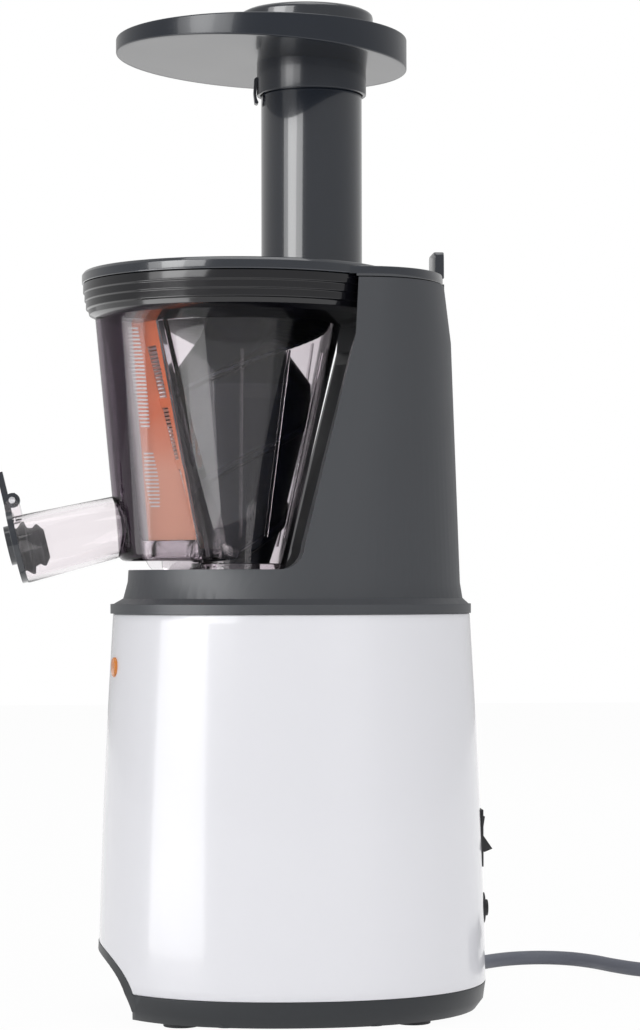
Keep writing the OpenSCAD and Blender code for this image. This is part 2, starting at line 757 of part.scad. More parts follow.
spring_wire = 0.7;
spring_turns = 4;
module reset_spring() {
    len = 8 - spring_wire - 0.05;
    path = [for (i = [0 : spring_turns * 12]) let (a = 30 * i)
        [spring_r * cos(a), spring_r * sin(a), -14 + spring_wire / 2 + 0.02
            + len * i / (spring_turns * 12)]];
    color("#b5b8bc") at_reset() tube_along(path, spring_wire / 2, 6);
}

// ---------------------------------------------------------------- swept tubes
function unit(v) = v / norm(v);
function tangent(p, i) = unit(p[min(i + 1, len(p) - 1)] - p[max(i - 1, 0)]);
// Rings of points round a path that never runs straight up, and the tube's faces
function ring(p, i, r, n) = let (t = tangent(p, i), s = unit(cross(t, [0, 0, 1])),
    u = cross(s, t)) [for (k = [0 : n - 1]) p[i] + r * (cos(360 * k / n) * s
    + sin(360 * k / n) * u)];
function tube_faces(m, n) = concat([[for (k = [0 : n - 1]) k]],
    [[for (k = [n - 1 : -1 : 0]) (m - 1) * n + k]],
    [for (i = [0 : m - 2], k = [0 : n - 1]) let (a = i * n + k, b = i * n + (k + 1) % n)
        [a, a + n, b]],
    [for (i = [0 : m - 2], k = [0 : n - 1]) let (a = i * n + k, b = i * n + (k + 1) % n)
        [b, a + n, b + n]]);
module tube_along(path, r, n) {
    polyhedron([for (i = [0 : len(path) - 1]) each ring(path, i, r, n)],
        tube_faces(len(path), n), convexity = 10);
}

// ---------------------------------------------------------------- bowl
outer_low = cone_r_low + bowl_wall;
outer_top = cone_r_top + bowl_wall;
function cone_r_at(z) = cone_r_low + (cone_r_top - cone_r_low) * (z - bowl_floor) / cone_h;
filter_half_angle = 36;
spout_z = bowl_floor + 20.3;
spout_y = bowl_y - chamber_reach_low + 6;
module at_spout() {
    translate([0, spout_y, spout_z]) rotate([90 + spout_slope, 0, 0]) children();
}
// The chamber's plan: straight sides that run back into the cone, and a half-round front
function chamber_plan(front, half_w, inset) = concat(
    [for (t = [180 : 6 : 360]) [(half_w - inset) * cos(t),
        half_w - front + (half_w - inset) * sin(t)]],
    [[half_w - inset, -6], [inset - half_w, -6]]);
module chamber_slice(front, half_w, z, inset, h = 0.01) {
    translate([0, bowl_y, z]) linear_extrude(h) polygon(chamber_plan(front, half_w, inset));
}
chamber_low = bowl_floor + 4;
chamber_low_half_w = chamber_half_w - 10;
chamber_top = cone_top + 7;
module chamber(inset) {
    low = chamber_low + inset;
    hull() {
        chamber_slice(chamber_reach_low - 3, chamber_low_half_w - 3, low, inset);
        chamber_slice(chamber_reach_low, chamber_low_half_w, low + 4, inset);
        chamber_slice(chamber_reach_top, chamber_half_w, chamber_top, inset);
    }
}
rim_low = cone_top + 0.6;
shelf_z = rim_low + 4;
// The rim's profile, radius against height, with its three steps
module rim_profile() {
    polygon([[outer_top - 1, rim_low - 1.5], [outer_top + 1, rim_low - 1.5],
        [rim_r - 7, rim_low + 1], [rim_r - 2.6, rim_low + 2.8],
        [rim_r - 2.2, rim_low + 4.8], [rim_r - 1.2, rim_low + 5.2], [rim_r - 1.2, rim_low + 8.3],
        [rim_r - 0.6, rim_low + 8.7], [rim_r - 0.6, rim_low + 11.8],
        [rim_r, rim_low + 12.2], [rim_r, rim_top],
        [rim_r - 2.5, rim_top], [rim_r - 2.5, rim_top - 3.2], [rim_r - 5.4, rim_top - 3.4],
        [rim_r - 5.4, shelf_z + 0.6],
        [cone_r_top, rim_low + 1]]);
}
pulp_turn = 210;
pulp_z = bowl_floor + 8;
module at_pulp() {
    at_bowl() translate([0, 0, pulp_z]) rotate([0, 0, pulp_turn]) rotate([0, 90, 0]) children();
}
pulp_wall = 2;
neck_r = 9;
ear_d = 6.4;
hinge_drop = mouth_d / 2 + ear_d / 2 + 0.7;
module at_cap_hinge() {
    at_spout() translate([0, hinge_drop, spout_len - 1]) rotate([0, 90, 0]) children();
}
rib_t = 1.6;
module juice_bowl() {
    color("#4b4650", 0.55) difference() {
        union() {
            at_bowl() {
                translate([0, 0, bowl_floor - 2.5]) cylinder(r1 = outer_low - 2.5, r2 = outer_low,
                    h = 2.51, $fn = fine);
                translate([0, 0, bowl_floor]) cylinder(r1 = outer_low, r2 = outer_top, h = cone_h,
                    $fn = fine);
                rotate_extrude($fn = fine) rim_profile();
            }
            chamber(0);
            at_spout() cylinder(d1 = spout_d, d2 = mouth_d, h = spout_len, $fn = fine);
            at_pulp() cylinder(r = pulp_bore_d / 2 + pulp_wall, h = pulp_reach, $fn = fine);
            at_cap_hinge() translate([0, 0, -7]) cylinder(d = ear_d, h = 14, $fn = 48);
            at_spout() translate([-7, mouth_d / 2 - 4, spout_len - 1 - ear_d / 2])
                cube([14, hinge_drop - mouth_d / 2 + 4, ear_d]);
        }
        at_bowl() {
            translate([0, 0, bowl_floor]) cylinder(r1 = cone_r_low, r2 = cone_r_top, h = cone_h,
                $fn = fine);
            disc(cone_r_top, 30, bowl_floor + cone_h - 0.01);
            disc(neck_r, 30, bowl_floor - 10);
        }
        difference() {
            chamber(bowl_wall);
            difference() {
                at_bowl() translate([0, 0, bowl_floor - 0.01]) cylinder(r1 = outer_low,
                    r2 = outer_top, h = cone_h, $fn = fine);
                at_bowl() translate([0, 0, frame_low - window_play])
                    linear_extrude(cone_h) sector(filter_half_angle + 0.5);
            }
        }
        chamber_slice(chamber_reach_top, chamber_half_w, chamber_top - 0.01, bowl_wall, 20);
        at_spout() translate([0, 0, -4]) cylinder(d1 = spout_d - 2 * bowl_wall - 0.4,
            d2 = mouth_d - 2 * bowl_wall, h = spout_len + 4.01, $fn = fine);
        at_pulp() translate([0, 0, cone_r_low - 6])
            cylinder(r = pulp_bore_d / 2, h = pulp_reach, $fn = fine);
        // the open end of the pulp outlet faces down
        at_pulp() translate([0, -20, pulp_reach - 14]) cube([20, 40, 30]);
        at_cap_hinge() translate([0, 0, -20]) cylinder(r = 1.5, h = 40, $fn = 32);
        // slot between the hinge ears
        at_spout() translate([-arm_slot / 2, mouth_d / 2 + 0.2, spout_len - 10])
            cube([arm_slot, 12, 20]);
        at_spout() translate([-arm_slot / 2, 8, spout_len]) cube([arm_slot, 20, 10]);
    }
    // ribs down the inside of the cone, which hold the food against the auger
    color("#4b4650", 0.55) at_bowl() for (a = rib_angles) rotate([0, 0, a])
        rotate([90, 0, 0]) translate([0, 0, -rib_t / 2]) linear_extrude(rib_t)
        polygon([[cone_r_at(rib_low) - rib_in, rib_low], [cone_r_at(rib_low) + 0.5, rib_low],
            [cone_r_at(rib_high) + 0.5, rib_high], [cone_r_at(rib_high) - rib_in, rib_high]]);
}
rib_in = 0.6;
rib_low = bowl_floor + 14;
rib_high = bowl_floor + 92;
rib_angles = [0, 30, 60, 90, 120, 150, 180];
module bowl_seal() {
    color("#8a8d92") at_bowl() difference() {
        disc(neck_r + press, 3.4, bowl_floor - 2.6);
        disc(hex_sleeve_r + 0.4, 8, bowl_floor - 5);
    }
}
hex_sleeve_r = hex_r + 1.6;

// ---------------------------------------------------------------- filter cassette
frame_t = 2;
window_play = 0.3;
frame_low = bowl_floor + 10;
frame_high = rim_low + 2;
window_z = [[frame_low + 8, frame_low + 30], [frame_low + 34, frame_low + 56],
    [frame_low + 60, frame_low + 82]];
window_turns = [-23, 0, 23];
window_half = 9.5;
module cone_skin(gap, t, low, high) {
    at_bowl() intersection() {
        difference() {
            translate([0, 0, bowl_floor]) cylinder(r1 = cone_r_low + gap + t,
                r2 = cone_r_top + gap + t, h = cone_h, $fn = fine);
            translate([0, 0, bowl_floor - 0.01]) cylinder(r1 = cone_r_low + gap,
                r2 = cone_r_top + gap, h = cone_h + 0.02, $fn = fine);
        }
        translate([0, 0, low]) linear_extrude(high - low) sector(filter_half_angle);
    }
}
// A wedge of the plan that opens towards the front
module sector(half) {
    polygon([[0, 0], [-90 * tan(half), -90], [90 * tan(half), -90]]);
}
filter_gap = 0.2;
cheek_t = 2;
cheek_x = cone_r_at(frame_low) * sin(filter_half_angle) - 0.4;
cheek_front_top = 50;
cheek_front_low = 42;
// Where a cheek meets the frame's conical skin
function cheek_y(z) = sqrt(pow(cone_r_at(z) + filter_gap + frame_t / 2, 2) - pow(cheek_x, 2));
module filter_frame() {
    color("#be5f37") {
        difference() {
            cone_skin(filter_gap, frame_t, frame_low, bowl_floor + cone_h - 0.5);
            for (turn = window_turns, w = window_z) at_bowl() rotate([0, 0, turn])
                translate([-cone_r_at(w[0]) * sin(window_half), -60, w[0]])
                cube([2 * cone_r_at(w[0]) * sin(window_half), 60, w[1] - w[0]]);
        }
        for (s = [-1, 1]) at_bowl() difference() {
            translate([s * cheek_x, 0, 0])
                rotate([90, 0, 90]) translate([0, 0, -cheek_t / 2]) linear_extrude(cheek_t)
                polygon([[-cheek_y(frame_low), frame_low], [-cheek_y(frame_high), frame_high],
                    [-cheek_front_top, frame_high], [-cheek_front_low - 1, frame_low + 6],
                    [-cheek_front_low + 1, frame_low]]);
            // the screens pass behind the cheeks
            translate([0, 0, bowl_floor]) cylinder(r1 = cone_r_low + filter_gap + screen_out,
                r2 = cone_r_top + filter_gap + screen_out, h = cone_h, $fn = fine);
        }
    }
}
mesh_t = 0.8;
screen_in = 0.6;        // how deep the screens lie in the frame's skin
screen_out = screen_in + mesh_t + 0.05;
bar_pitch = 1.6;
bar_h = 0.9;
module filter_mesh() {
    color("#b9bcc0") for (turn = window_turns, w = window_z) intersection() {
        cone_skin(filter_gap + screen_in, mesh_t, frame_low, bowl_floor + cone_h - 0.5);
        at_bowl() rotate([0, 0, turn]) union() {
            half = cone_r_at(w[0]) * sin(window_half) + press;
            for (x = [-half, half - 1]) translate([x, -60, w[0] - press])
                cube([1, 60, w[1] - w[0] + 2 * press]);
            for (z = [w[0] - press : bar_pitch : w[1] - bar_h + press])
                translate([-half, -60, z]) cube([2 * half, 60, bar_h]);
        }
    }
}

// ---------------------------------------------------------------- auger
auger_low = bowl_floor + 1;
flight_low = bowl_floor + 6;
flight_high = bowl_floor + cone_h - 3;
flight_h = flight_high - flight_low;
flight_t = 4;
core_wide_z = bowl_floor + 72;
flight_root = min(core_r_low, core_r_top) - 3;
module flights() {
    low_r = cone_r_at(flight_low) - auger_gap - rib_in;
    high_r = cone_r_at(flight_high) - auger_gap - rib_in;
    intersection() {
        translate([0, 0, flight_high]) mirror([0, 0, 1])
            linear_extrude(flight_h, twist = 360 * flight_turns, slices = 48)
            for (a = [0, 180]) rotate([0, 0, a]) polygon([[flight_root, -flight_t / 2],
                [high_r + 4, -flight_t / 2 - 1], [high_r + 4, flight_t / 2 - 1],
                [flight_root, flight_t / 2]]);
        translate([0, 0, flight_low]) cylinder(r1 = low_r, r2 = high_r, h = flight_h, $fn = fine);
    }
}
peg_r = 5;
peg_h = 6;
module auger() {
    color("#14182a") at_bowl() difference() {
        union() {
            rotate_extrude($fn = fine) polygon([[0, auger_low], [core_r_low, auger_low],
                [core_r_wide, core_wide_z], [core_r_wide - 2, core_wide_z + 4],
                [core_r_top + 1, core_wide_z + 18], [core_r_top, flight_high], [0, flight_high]]);
            flights();
            disc(peg_r, peg_h + 1, flight_high - 1);
        }
        disc(hex_sleeve_r + 0.02, 22, auger_low - 1);
    }
}
module auger_socket() {
    color("#b9bcc0") at_bowl() difference() {
        disc(hex_sleeve_r, 24.3, bowl_floor - 2.3);
        translate([0, 0, bowl_floor - 5]) cylinder(r = hex_r + 0.3, h = 5 + hex_top - bowl_floor
            + lay_gap, $fn = 6);
    }
}

// ---------------------------------------------------------------- juice cap
cap_plate_r = mouth_d / 2 + 2.4;
cap_plate_t = 2.6;
cap_gap = 0.3;
cap_arm_w = 5.8;
arm_slot = cap_arm_w + 2 * slide_gap;
module juice_cap() {
    color("#55585d") {
        difference() {
            union() {
                at_spout() translate([0, 0, spout_len + cap_gap]) {
                    difference() {
                        cylinder(r = cap_plate_r, h = cap_plate_t, $fn = fine);
                        translate([-10, mouth_d / 2 - 4.4, -1]) cube([20, 20, 9]);
                    }
                    cylinder(r = 8.5, h = cap_plate_t + 2.6, $fn = 48);
                    translate([-cap_arm_w / 2, 0, 0])
                        cube([cap_arm_w, hinge_drop + 13, cap_plate_t]);
                    translate([-cap_arm_w / 2, hinge_drop - 3, -3]) cube([cap_arm_w, 6, 4]);
                }
                at_cap_hinge() translate([0, 0, -cap_arm_w / 2])
                    cylinder(d = ear_d, h = cap_arm_w, $fn = 48);
            }
            at_cap_hinge() translate([0, 0, -10]) cylinder(r = 1.5, h = 20, $fn = 32);
        }
    }
}
plug_r = mouth_d / 2 - bowl_wall - 1.1;
module juice_stopper() {
    color("#1e1f24") at_spout() translate([0, 0, spout_len + cap_gap]) mirror([0, 0, 1])
        rotate_extrude($fn = fine) polygon([[0, -press], [plug_r - 2.2, -press],
            [plug_r - 2.2, 2], [plug_r, 4.2], [plug_r, 5], [plug_r - 3, 6], [plug_r - 3.6, 8],
            [plug_r - 2.4, 9.4], [plug_r - 2.4, 10.2], [plug_r - 5.4, 12.4], [0, 12.4]]);
}
module cap_hinge_pin() {
    color("#b5b8bc") at_cap_hinge() translate([0, 0, -7]) cylinder(r = 1.5 - pin_gap, h = 14,
        $fn = 32);
}

// ---------------------------------------------------------------- lid
skirt_t = 2.2;
gasket_h = 1.4;
skirt_h = 3.6;
skirt_r = rim_r - 2.5 - slide_gap;
ext_gap = 0.4;
ext_drop = 1.8;         // how far the extension's top lies below the lid's
ext_top = lid_top - ext_drop;
magnet_r = 5;
magnet_h = 1.6;
ext_back = tower_back_y - 0.5;
tab_t = 4.2;
tongue_t = 2.2;
tongue_h = 11;
tab_w = 22;
tab_h = 8.9;
peg_gap = 0.4;
module juicer_lid() {
    color("#4a4f57") difference() {
        union() {
            at_bowl() {
                disc(rim_r + 0.5, lid_h - 1, lid_bottom);
                disc(rim_r - 0.5, lid_h, lid_bottom);
                difference() {
                    disc(skirt_r, skirt_h + 1, lid_bottom - skirt_h + 0.6);
                    disc(skirt_r - skirt_t, 20, lid_bottom - 10);
                }
                // bushing for the auger's peg, with a flange above it
                disc(peg_r + 4, lid_bottom - flight_high - 0.9, flight_high + 1);
            }
            at_tube() cylinder(r = tube_r, h = tube_top, $fn = fine);
            // the extension over the tower, with the tab and the tongue at its back
            difference() {
                translate([0, tower_y, tower_top + ext_gap])
                    linear_extrude(ext_top - tower_top - ext_gap) intersection() {
                        polygon(oval(tower_half_w - 0.5, tower_d - 0.5));
                        translate([-100, bowl_y + 40 - tower_y]) square([200, 100]);
                    }
                at_bowl() disc(pocket_r, lid_bottom - tower_top, tower_top);
            }
            translate([-tab_w / 2, ext_back - tongue_t, tower_top - tongue_h])
                cube([tab_w, tongue_t, tongue_h + ext_gap + 1]);
            translate([-tab_w / 2, ext_back - tab_t, ext_top - 1])
                cube([tab_w, tab_t, tab_h + ext_drop + 1]);
        }
        at_tube() disc(tube_r - tube_wall, tube_top + 2, lid_bottom - 10);
        at_bowl() disc(peg_r + peg_gap, peg_h + 3, flight_high - 1);
        difference() {
            at_tube() disc(tube_r + 1, lid_bottom - 0.01);
            at_bowl() disc(peg_r + 4, lid_bottom + 2);
        }
        translate([0, sensor_y, tower_top]) disc(magnet_r + 0.05, ext_gap + magnet_h + 0.02);
        at_bowl() difference() {
            disc(skirt_r + 1, gasket_h, lid_bottom - 2.6);
            disc(skirt_r - 1, 3, lid_bottom - 3.4);
        }
    }
}
module lid_gasket() {
    color("#2b2d30") at_bowl() difference() {
        disc(skirt_r + 0.2, gasket_h, lid_bottom - 2.6);
        disc(skirt_r - 1, 3, lid_bottom - 3.4);
    }
}
module lid_magnet() {
    color("#9a9da1") translate([0, sensor_y, tower_top + ext_gap]) disc(magnet_r, magnet_h);
}

// ---------------------------------------------------------------- tray
collar_t = 1.6;
collar_drop = 14.4;
tray_floor_t = 2;
collar_r = tube_r + slide_gap + collar_t;
tray_low_z = tube_top - 4;
rim_top_z = tray_low_z + 13.5;
front_y = tray_y - tray_r;
floor_front_z = rim_top_z - tray_rim_h;
function floor_z(y) = floor_front_z - (y - front_y) * tan(tray_slope);
module floor_plane(lift) {
    // everything above the sloping floor
    translate([-100, 0, 0]) rotate([90, 0, 90]) linear_extrude(200)
        polygon([[front_y - 10, floor_z(front_y - 10) + lift],
            [front_y + 150, floor_z(front_y + 150) + lift], [front_y + 150, 600],
            [front_y - 10, 600]]);
}
clip_w = 5;
module food_tray() {
    color("#4a4f57") difference() {
        union() {
            intersection() {
                translate([0, tray_y, 0]) disc(tray_r, rim_top_z);
                floor_plane(0);
            }
            at_tube() translate([0, 0, tube_top - collar_drop])
                cylinder(r = collar_r, h = collar_drop + 2, $fn = fine);
            at_tube() translate([-clip_w / 2, -collar_r - 1.6, tube_top - collar_drop - 4])
                cube([clip_w, 2.4, 12]);
        }
        intersection() {
            translate([0, tray_y, 0]) disc(tray_r - 2, rim_top_z + 1);
            floor_plane(tray_floor_t);
        }
        at_tube() translate([0, 0, tube_top - 40])
            cylinder(r = tube_r - tube_wall, h = 60, $fn = fine);
        at_tube() translate([0, 0, tube_top - 40])
            cylinder(r = tube_r + slide_gap, h = 40 + lay_gap, $fn = fine);
    }
}

// ---------------------------------------------------------------- pusher
stem_r = tube_r - tube_wall - 0.9;
stem_low = lid_top + 4;
stem_wall = 1.8;
rest_r = 24;
// The cap's shoulder rests on the tray's floor, on the side where the floor is higher
rest_z = floor_z(tube_y - rest_r) + tray_floor_t + lay_gap;
cap_low = rim_top_z - 3;
cap_h = 16;
cap_forward = 2.4;      // the cap's centre lies in front of the stem's
module pusher_stem() {
    color("#5b5f66") at_tube() difference() {
        union() {
            disc(stem_r, cap_low - stem_low, stem_low);
            for (a = [45 : 90 : 315]) rotate([0, 0, a]) translate([stem_r - 0.5, -1, stem_low])
                cube([0.9, 2, cap_low - stem_low - 22]);
        }
        disc(stem_r - stem_wall, 300, stem_low + stem_wall);
    }
}
module pusher_cap() {
    color("#3f454d") difference() {
        union() {
            at_tube() translate([0, -cap_forward, 0]) rotate_extrude($fn = fine)
                polygon([[0, cap_low], [cap_r - 6, cap_low], [cap_r - 1, cap_low + 1],
                [cap_r, cap_low + 2.5], [cap_r, cap_low + 13], [cap_r - 1, cap_low + 14.4],
                [cap_r - 5, cap_low + 15.4], [0, cap_low + cap_h]]);
            at_tube() difference() {
                disc(rest_r, cap_low - rest_z + 0.5, rest_z);
                disc(stem_r + 0.02, cap_low - rest_z + 1, rest_z - 1);
            }
        }
        at_tube() rotate_extrude($fn = fine) polygon([[0, cap_low - 1],
            [stem_r - stem_wall - 3, cap_low - 1], [stem_r - stem_wall - 3, cap_low + 9],
            [0, cap_low + 10]]);
    }
}

// ---------------------------------------------------------------- cord
cord_r = cord_d / 2;
lay_z = cord_r + 0.05;
gland_len = 25;
module cord_gland() {
    color("#33363a") at_gland() difference() {
        union() {
            translate([0, 0, -4]) cylinder(d = gland_d - 1.7, h = 5, $fn = 48);
            translate([0, 0, 0.8]) cylinder(d = gland_d + 1.4, h = 1.6, $fn = 48);
            translate([0, 0, 2]) cylinder(d1 = gland_d, d2 = cord_d + 1, h = gland_len - 2,
                $fn = 48);
        }
    }
}
gland_end = [cord_exit_x + gland_len * cos(cord_turn), cord_exit_y + gland_len * sin(cord_turn),
    cord_exit_z];
cord_route = [gland_end, [-80, 91, 6.9], [-89, 97, 5.2], [-99, 104, 3.8], [-108, 110.5, 3.3],
    [-118, 119, 3.3], [-126.5, 131, 3.3], [-129, 145, 3.3], [-124, 158, 3.3], [-113, 167.5, 3.3],
    [-99.5, 174.5, 3.3], [-86.5, 183, 3.3], [-76, 195, 3.3], [-68, 208, 3.3], [-60, 221, 3.3]];
module cord_lead() {
    color("#696c76") tube_along(cord_route, cord_r, 8);
}
coil_mid_r = 34;
coil_step = cord_d * 1.1;
coil_start = cord_route[len(cord_route) - 1];
coil_dir = unit(coil_start - cord_route[len(cord_route) - 2]);
coil_in = cord_d;
climb_inset = 0.4;      // how far the climbing half turn is drawn in, in steps
coil_outer_r = coil_mid_r + coil_step * (coil_turns / 2 - 0.5) / 2;
coil_first = coil_start + coil_in * coil_dir;
coil_centre = [coil_first[0] - coil_dir[1] * coil_outer_r,
    coil_first[1] + coil_dir[0] * coil_outer_r];
coil_angle = atan2(coil_first[1] - coil_centre[1], coil_first[0] - coil_centre[0]);
// Radius and height of the coil after t turns: in over the lower layer, up in half a turn,
// and out again over the upper layer
function climb(t) = min(1, max(0, 2 * t - coil_turns + 0.5));
function coil_r(t) = let (h = coil_turns / 2) coil_outer_r
    - coil_step * (t < h - 0.25 ? t : t > h + 0.25 ? coil_turns - t : h - 0.25)
    - coil_step * climb_inset * pow(sin(180 * climb(t)), 2);
function coil_z(t) = lay_z + coil_step * (1 - cos(180 * climb(t))) / 2;
coil_rings = round(24 * coil_turns);
function coil_point(i) = let (t = coil_turns * i / coil_rings, a = coil_angle + 360 * t)
    [coil_centre[0] + coil_r(t) * cos(a), coil_centre[1] + coil_r(t) * sin(a), coil_z(t)];
coil_last = coil_point(coil_rings);
coil_end_dir = [-sin(coil_angle + 360 * coil_turns), cos(coil_angle + 360 * coil_turns), 0];
coil_end = coil_last + 2 * cord_d * coil_end_dir;
coil_path = concat([coil_start], [for (i = [0 : coil_rings]) coil_point(i)],
    [coil_last + cord_d * coil_end_dir, coil_end]);
// Least gap between any two stretches of the coil that aren't neighbours along it
coil_gap = min([for (i = [0 : coil_rings - 16]) min([for (j = [i + 16 : coil_rings])
    norm(coil_point(i) - coil_point(j))])]) - cord_d;
module cord_coil() {
    echo(least_gap_in_coil = coil_gap);
    color("#696c76") tube_along(coil_path, cord_r, 6);
}
tie_w = 5;
// The tie sits opposite the climb, where the turns lie level
tie_turn = 180 * coil_turns + 180;
module cord_tie() {
    low_r = coil_outer_r - coil_step * (coil_turns / 2 - 0.5) - cord_r;
    r0 = low_r - 0.4;
    r1 = coil_outer_r + cord_r + 0.4;
    color("#232326") translate([coil_centre[0], coil_centre[1], 0])
        rotate([0, 0, coil_angle + tie_turn]) translate([0, tie_w / 2, 0]) rotate([90, 0, 0])
        linear_extrude(tie_w) difference() {
            translate([r0 - 0.8, 0]) square([r1 - r0 + 1.6, 2 * cord_d + 3.4]);
            translate([r0, -1]) square([r1 - r0, 2 * cord_d + 3.4]);
        }
}
plug_body_l = 34;
plug_pin_r = 2;
module mains_plug() {
    turn = atan2(coil_end_dir[1], coil_end_dir[0]);
    translate([coil_end[0], coil_end[1], coil_end[2]]) rotate([0, 0, turn]) {
        color("#26282b") {
            rotate([0, 90, 0]) cylinder(r1 = cord_r + 1, r2 = 6, h = 14, $fn = 48);
            hull() {
                translate([13, 0, 0]) rotate([0, 90, 0]) cylinder(r = 6, h = 1, $fn = 32);
                for (y = [-10, 10]) translate([13 + plug_body_l - 10, y, -7])
                    cylinder(r = 7, h = 14, $fn = 32);
            }
        }
        color("#b5b8bc") for (y = [-9.5, 9.5]) translate([13 + plug_body_l - 6, y, 0])
            rotate([0, 90, 0]) cylinder(r = plug_pin_r, h = 22, $fn = 32);
    }
}

base_moulding();
body_shell();
upper_housing();
rubber_feet();
base_screws();
front_badge();
motor_stator();
motor_windings();
motor_brackets();
motor_bearings();
motor_rotor();
motor_shaft();
cooling_fan();
motor_pinion();
gearbox_case();
gearbox_cover();
gearbox_screws();
intermediate_pin();
intermediate_gear();
output_gear();
drive_shaft();
shaft_bush();
shaft_seal();
control_board();
lid_sensor();
switch_housing();
power_rocker();
reset_housing();
reset_button();
reset_spring();
juice_bowl();
bowl_seal();
filter_frame();
filter_mesh();
auger();
auger_socket();
juice_cap();
juice_stopper();
cap_hinge_pin();
juicer_lid();
lid_gasket();
lid_magnet();
food_tray();
pusher_cap();
pusher_stem();
cord_gland();
cord_lead();
cord_coil();
cord_tie();
mains_plug();
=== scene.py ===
"""A cold press juicer, dressed over its CAD frame: motor base, clear bowl, lid, tray and cord."""

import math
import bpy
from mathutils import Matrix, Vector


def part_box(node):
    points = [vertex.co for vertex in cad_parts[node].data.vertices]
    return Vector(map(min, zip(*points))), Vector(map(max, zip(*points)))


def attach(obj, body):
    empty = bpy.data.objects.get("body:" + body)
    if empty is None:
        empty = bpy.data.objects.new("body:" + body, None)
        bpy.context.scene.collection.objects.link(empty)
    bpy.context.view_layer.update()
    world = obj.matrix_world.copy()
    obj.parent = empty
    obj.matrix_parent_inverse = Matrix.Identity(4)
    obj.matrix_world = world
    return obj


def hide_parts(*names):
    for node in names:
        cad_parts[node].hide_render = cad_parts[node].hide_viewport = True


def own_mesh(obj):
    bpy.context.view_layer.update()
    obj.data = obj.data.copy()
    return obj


bl_info = {
    "name": "Cold press juicer",
    "version": (1, 0, 0),
    "blender": (4, 5, 0),
    "location": "View3D > Sidebar > Juicer",
    "description": "Builds an upright slow juicer over its CAD frame",
    "category": "Add Mesh",
}

import bmesh
import bpy
import numpy as np
from bpy.props import FloatProperty, FloatVectorProperty, PointerProperty
from mathutils import Matrix, Vector

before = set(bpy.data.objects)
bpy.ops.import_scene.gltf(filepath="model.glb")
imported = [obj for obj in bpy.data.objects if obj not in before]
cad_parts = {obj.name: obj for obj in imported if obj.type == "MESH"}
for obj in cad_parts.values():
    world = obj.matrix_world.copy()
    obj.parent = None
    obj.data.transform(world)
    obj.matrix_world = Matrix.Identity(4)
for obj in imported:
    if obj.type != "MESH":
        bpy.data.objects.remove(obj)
MM = 0.001
BOX = {name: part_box(name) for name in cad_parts}
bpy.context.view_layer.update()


def low(node, axis):
    """The node's lowest coordinate along an axis, in metres."""
    return BOX[node][0]["XYZ".index(axis)]


def high(node, axis):
    """The node's highest coordinate along an axis, in metres."""
    return BOX[node][1]["XYZ".index(axis)]


def middle(node, axis):
    """The middle of the node's box along an axis, in metres."""
    return (low(node, axis) + high(node, axis)) / 2


# ------------------------------------------------------------------ places from the frame
BOWL_Y = middle("drive_shaft", "Y")
TUBE_Y = middle("pusher_stem", "Y")
BODY_Y = middle("base_moulding", "Y")
BODY_HALF_W = high("base_moulding", "X")
BODY_HALF_D = (high("base_moulding", "Y") - low("base_moulding", "Y")) / 2
BASE_TOP = low("body_shell", "Z")
SHELL_TOP = high("body_shell", "Z")
TOWER_TOP = high("upper_housing", "Z")
LID_BACK = high("juicer_lid", "Y")
LID_BOTTOM = high("lid_gasket", "Z") + 1.2 * MM
LID_TOP = LID_BOTTOM + 5 * MM
TUBE_TOP = high("juicer_lid", "Z")
TRAY_TOP = high("food_tray", "Z")


# ------------------------------------------------------------------ surfaces
def grid_faces(rows, columns, wrap_rows, wrap_columns):
    """Quads over a grid of points: each joins a point, the next in its row and those above."""
    r = np.arange(rows if wrap_rows else rows - 1)[:, None]
    c = np.arange(columns if wrap_columns else columns - 1)[None, :]
    r2, c2 = (r + 1) % rows, (c + 1) % columns
    quads = np.stack([r * columns + c, r * columns + c2, r2 * columns + c2, r2 * columns + c], -1)
    return quads.reshape(-1, 4)


class Form:
    """Points and quads that are gathered from several surfaces and become one mesh."""

    def __init__(self):
        self.points, self.quads, self.caps, self.count = [], [], [], 0

    def grid(self, points, wrap_rows=False, wrap_columns=True, close=()):
        """Adds a grid of points; close names "first" or "last" rows that get a flat cap."""
        rows, columns = points.shape[:2]
        self.points.append(points.reshape(-1, 3))
        self.quads.append(grid_faces(rows, columns, wrap_rows, wrap_columns) + self.count)
        for row in close:
            start = 0 if row == "first" else (rows - 1) * columns
            ring = np.arange(columns) + self.count + start
            self.caps.append(ring if row == "last" else ring[::-1])
        self.count += rows * columns
        return self

    def object(self, name, crease=40.0, merge=True):
        """The mesh object, with doubled points merged and its normals outwards."""
        mesh = bpy.data.meshes.new(name)
        points = np.concatenate(self.points)
        quads = np.concatenate(self.quads)
        starts = np.arange(len(quads)) * 4
        sizes = np.full(len(quads), 4)
        loops = quads.ravel()
        for cap in self.caps:
            starts = np.append(starts, len(loops))
            sizes = np.append(sizes, len(cap))
            loops = np.concatenate([loops, cap])
        mesh.vertices.add(len(points))
        mesh.vertices.foreach_set("co", points.astype(np.float32).ravel())
        mesh.loops.add(len(loops))
        mesh.loops.foreach_set("vertex_index", loops.astype(np.int32))
        mesh.polygons.add(len(starts))
        mesh.polygons.foreach_set("loop_start", starts.astype(np.int32))
        mesh.polygons.foreach_set("loop_total", sizes.astype(np.int32))
        mesh.update(calc_edges=True)
        mesh.validate()
        return settle(mesh, name, crease, merge)


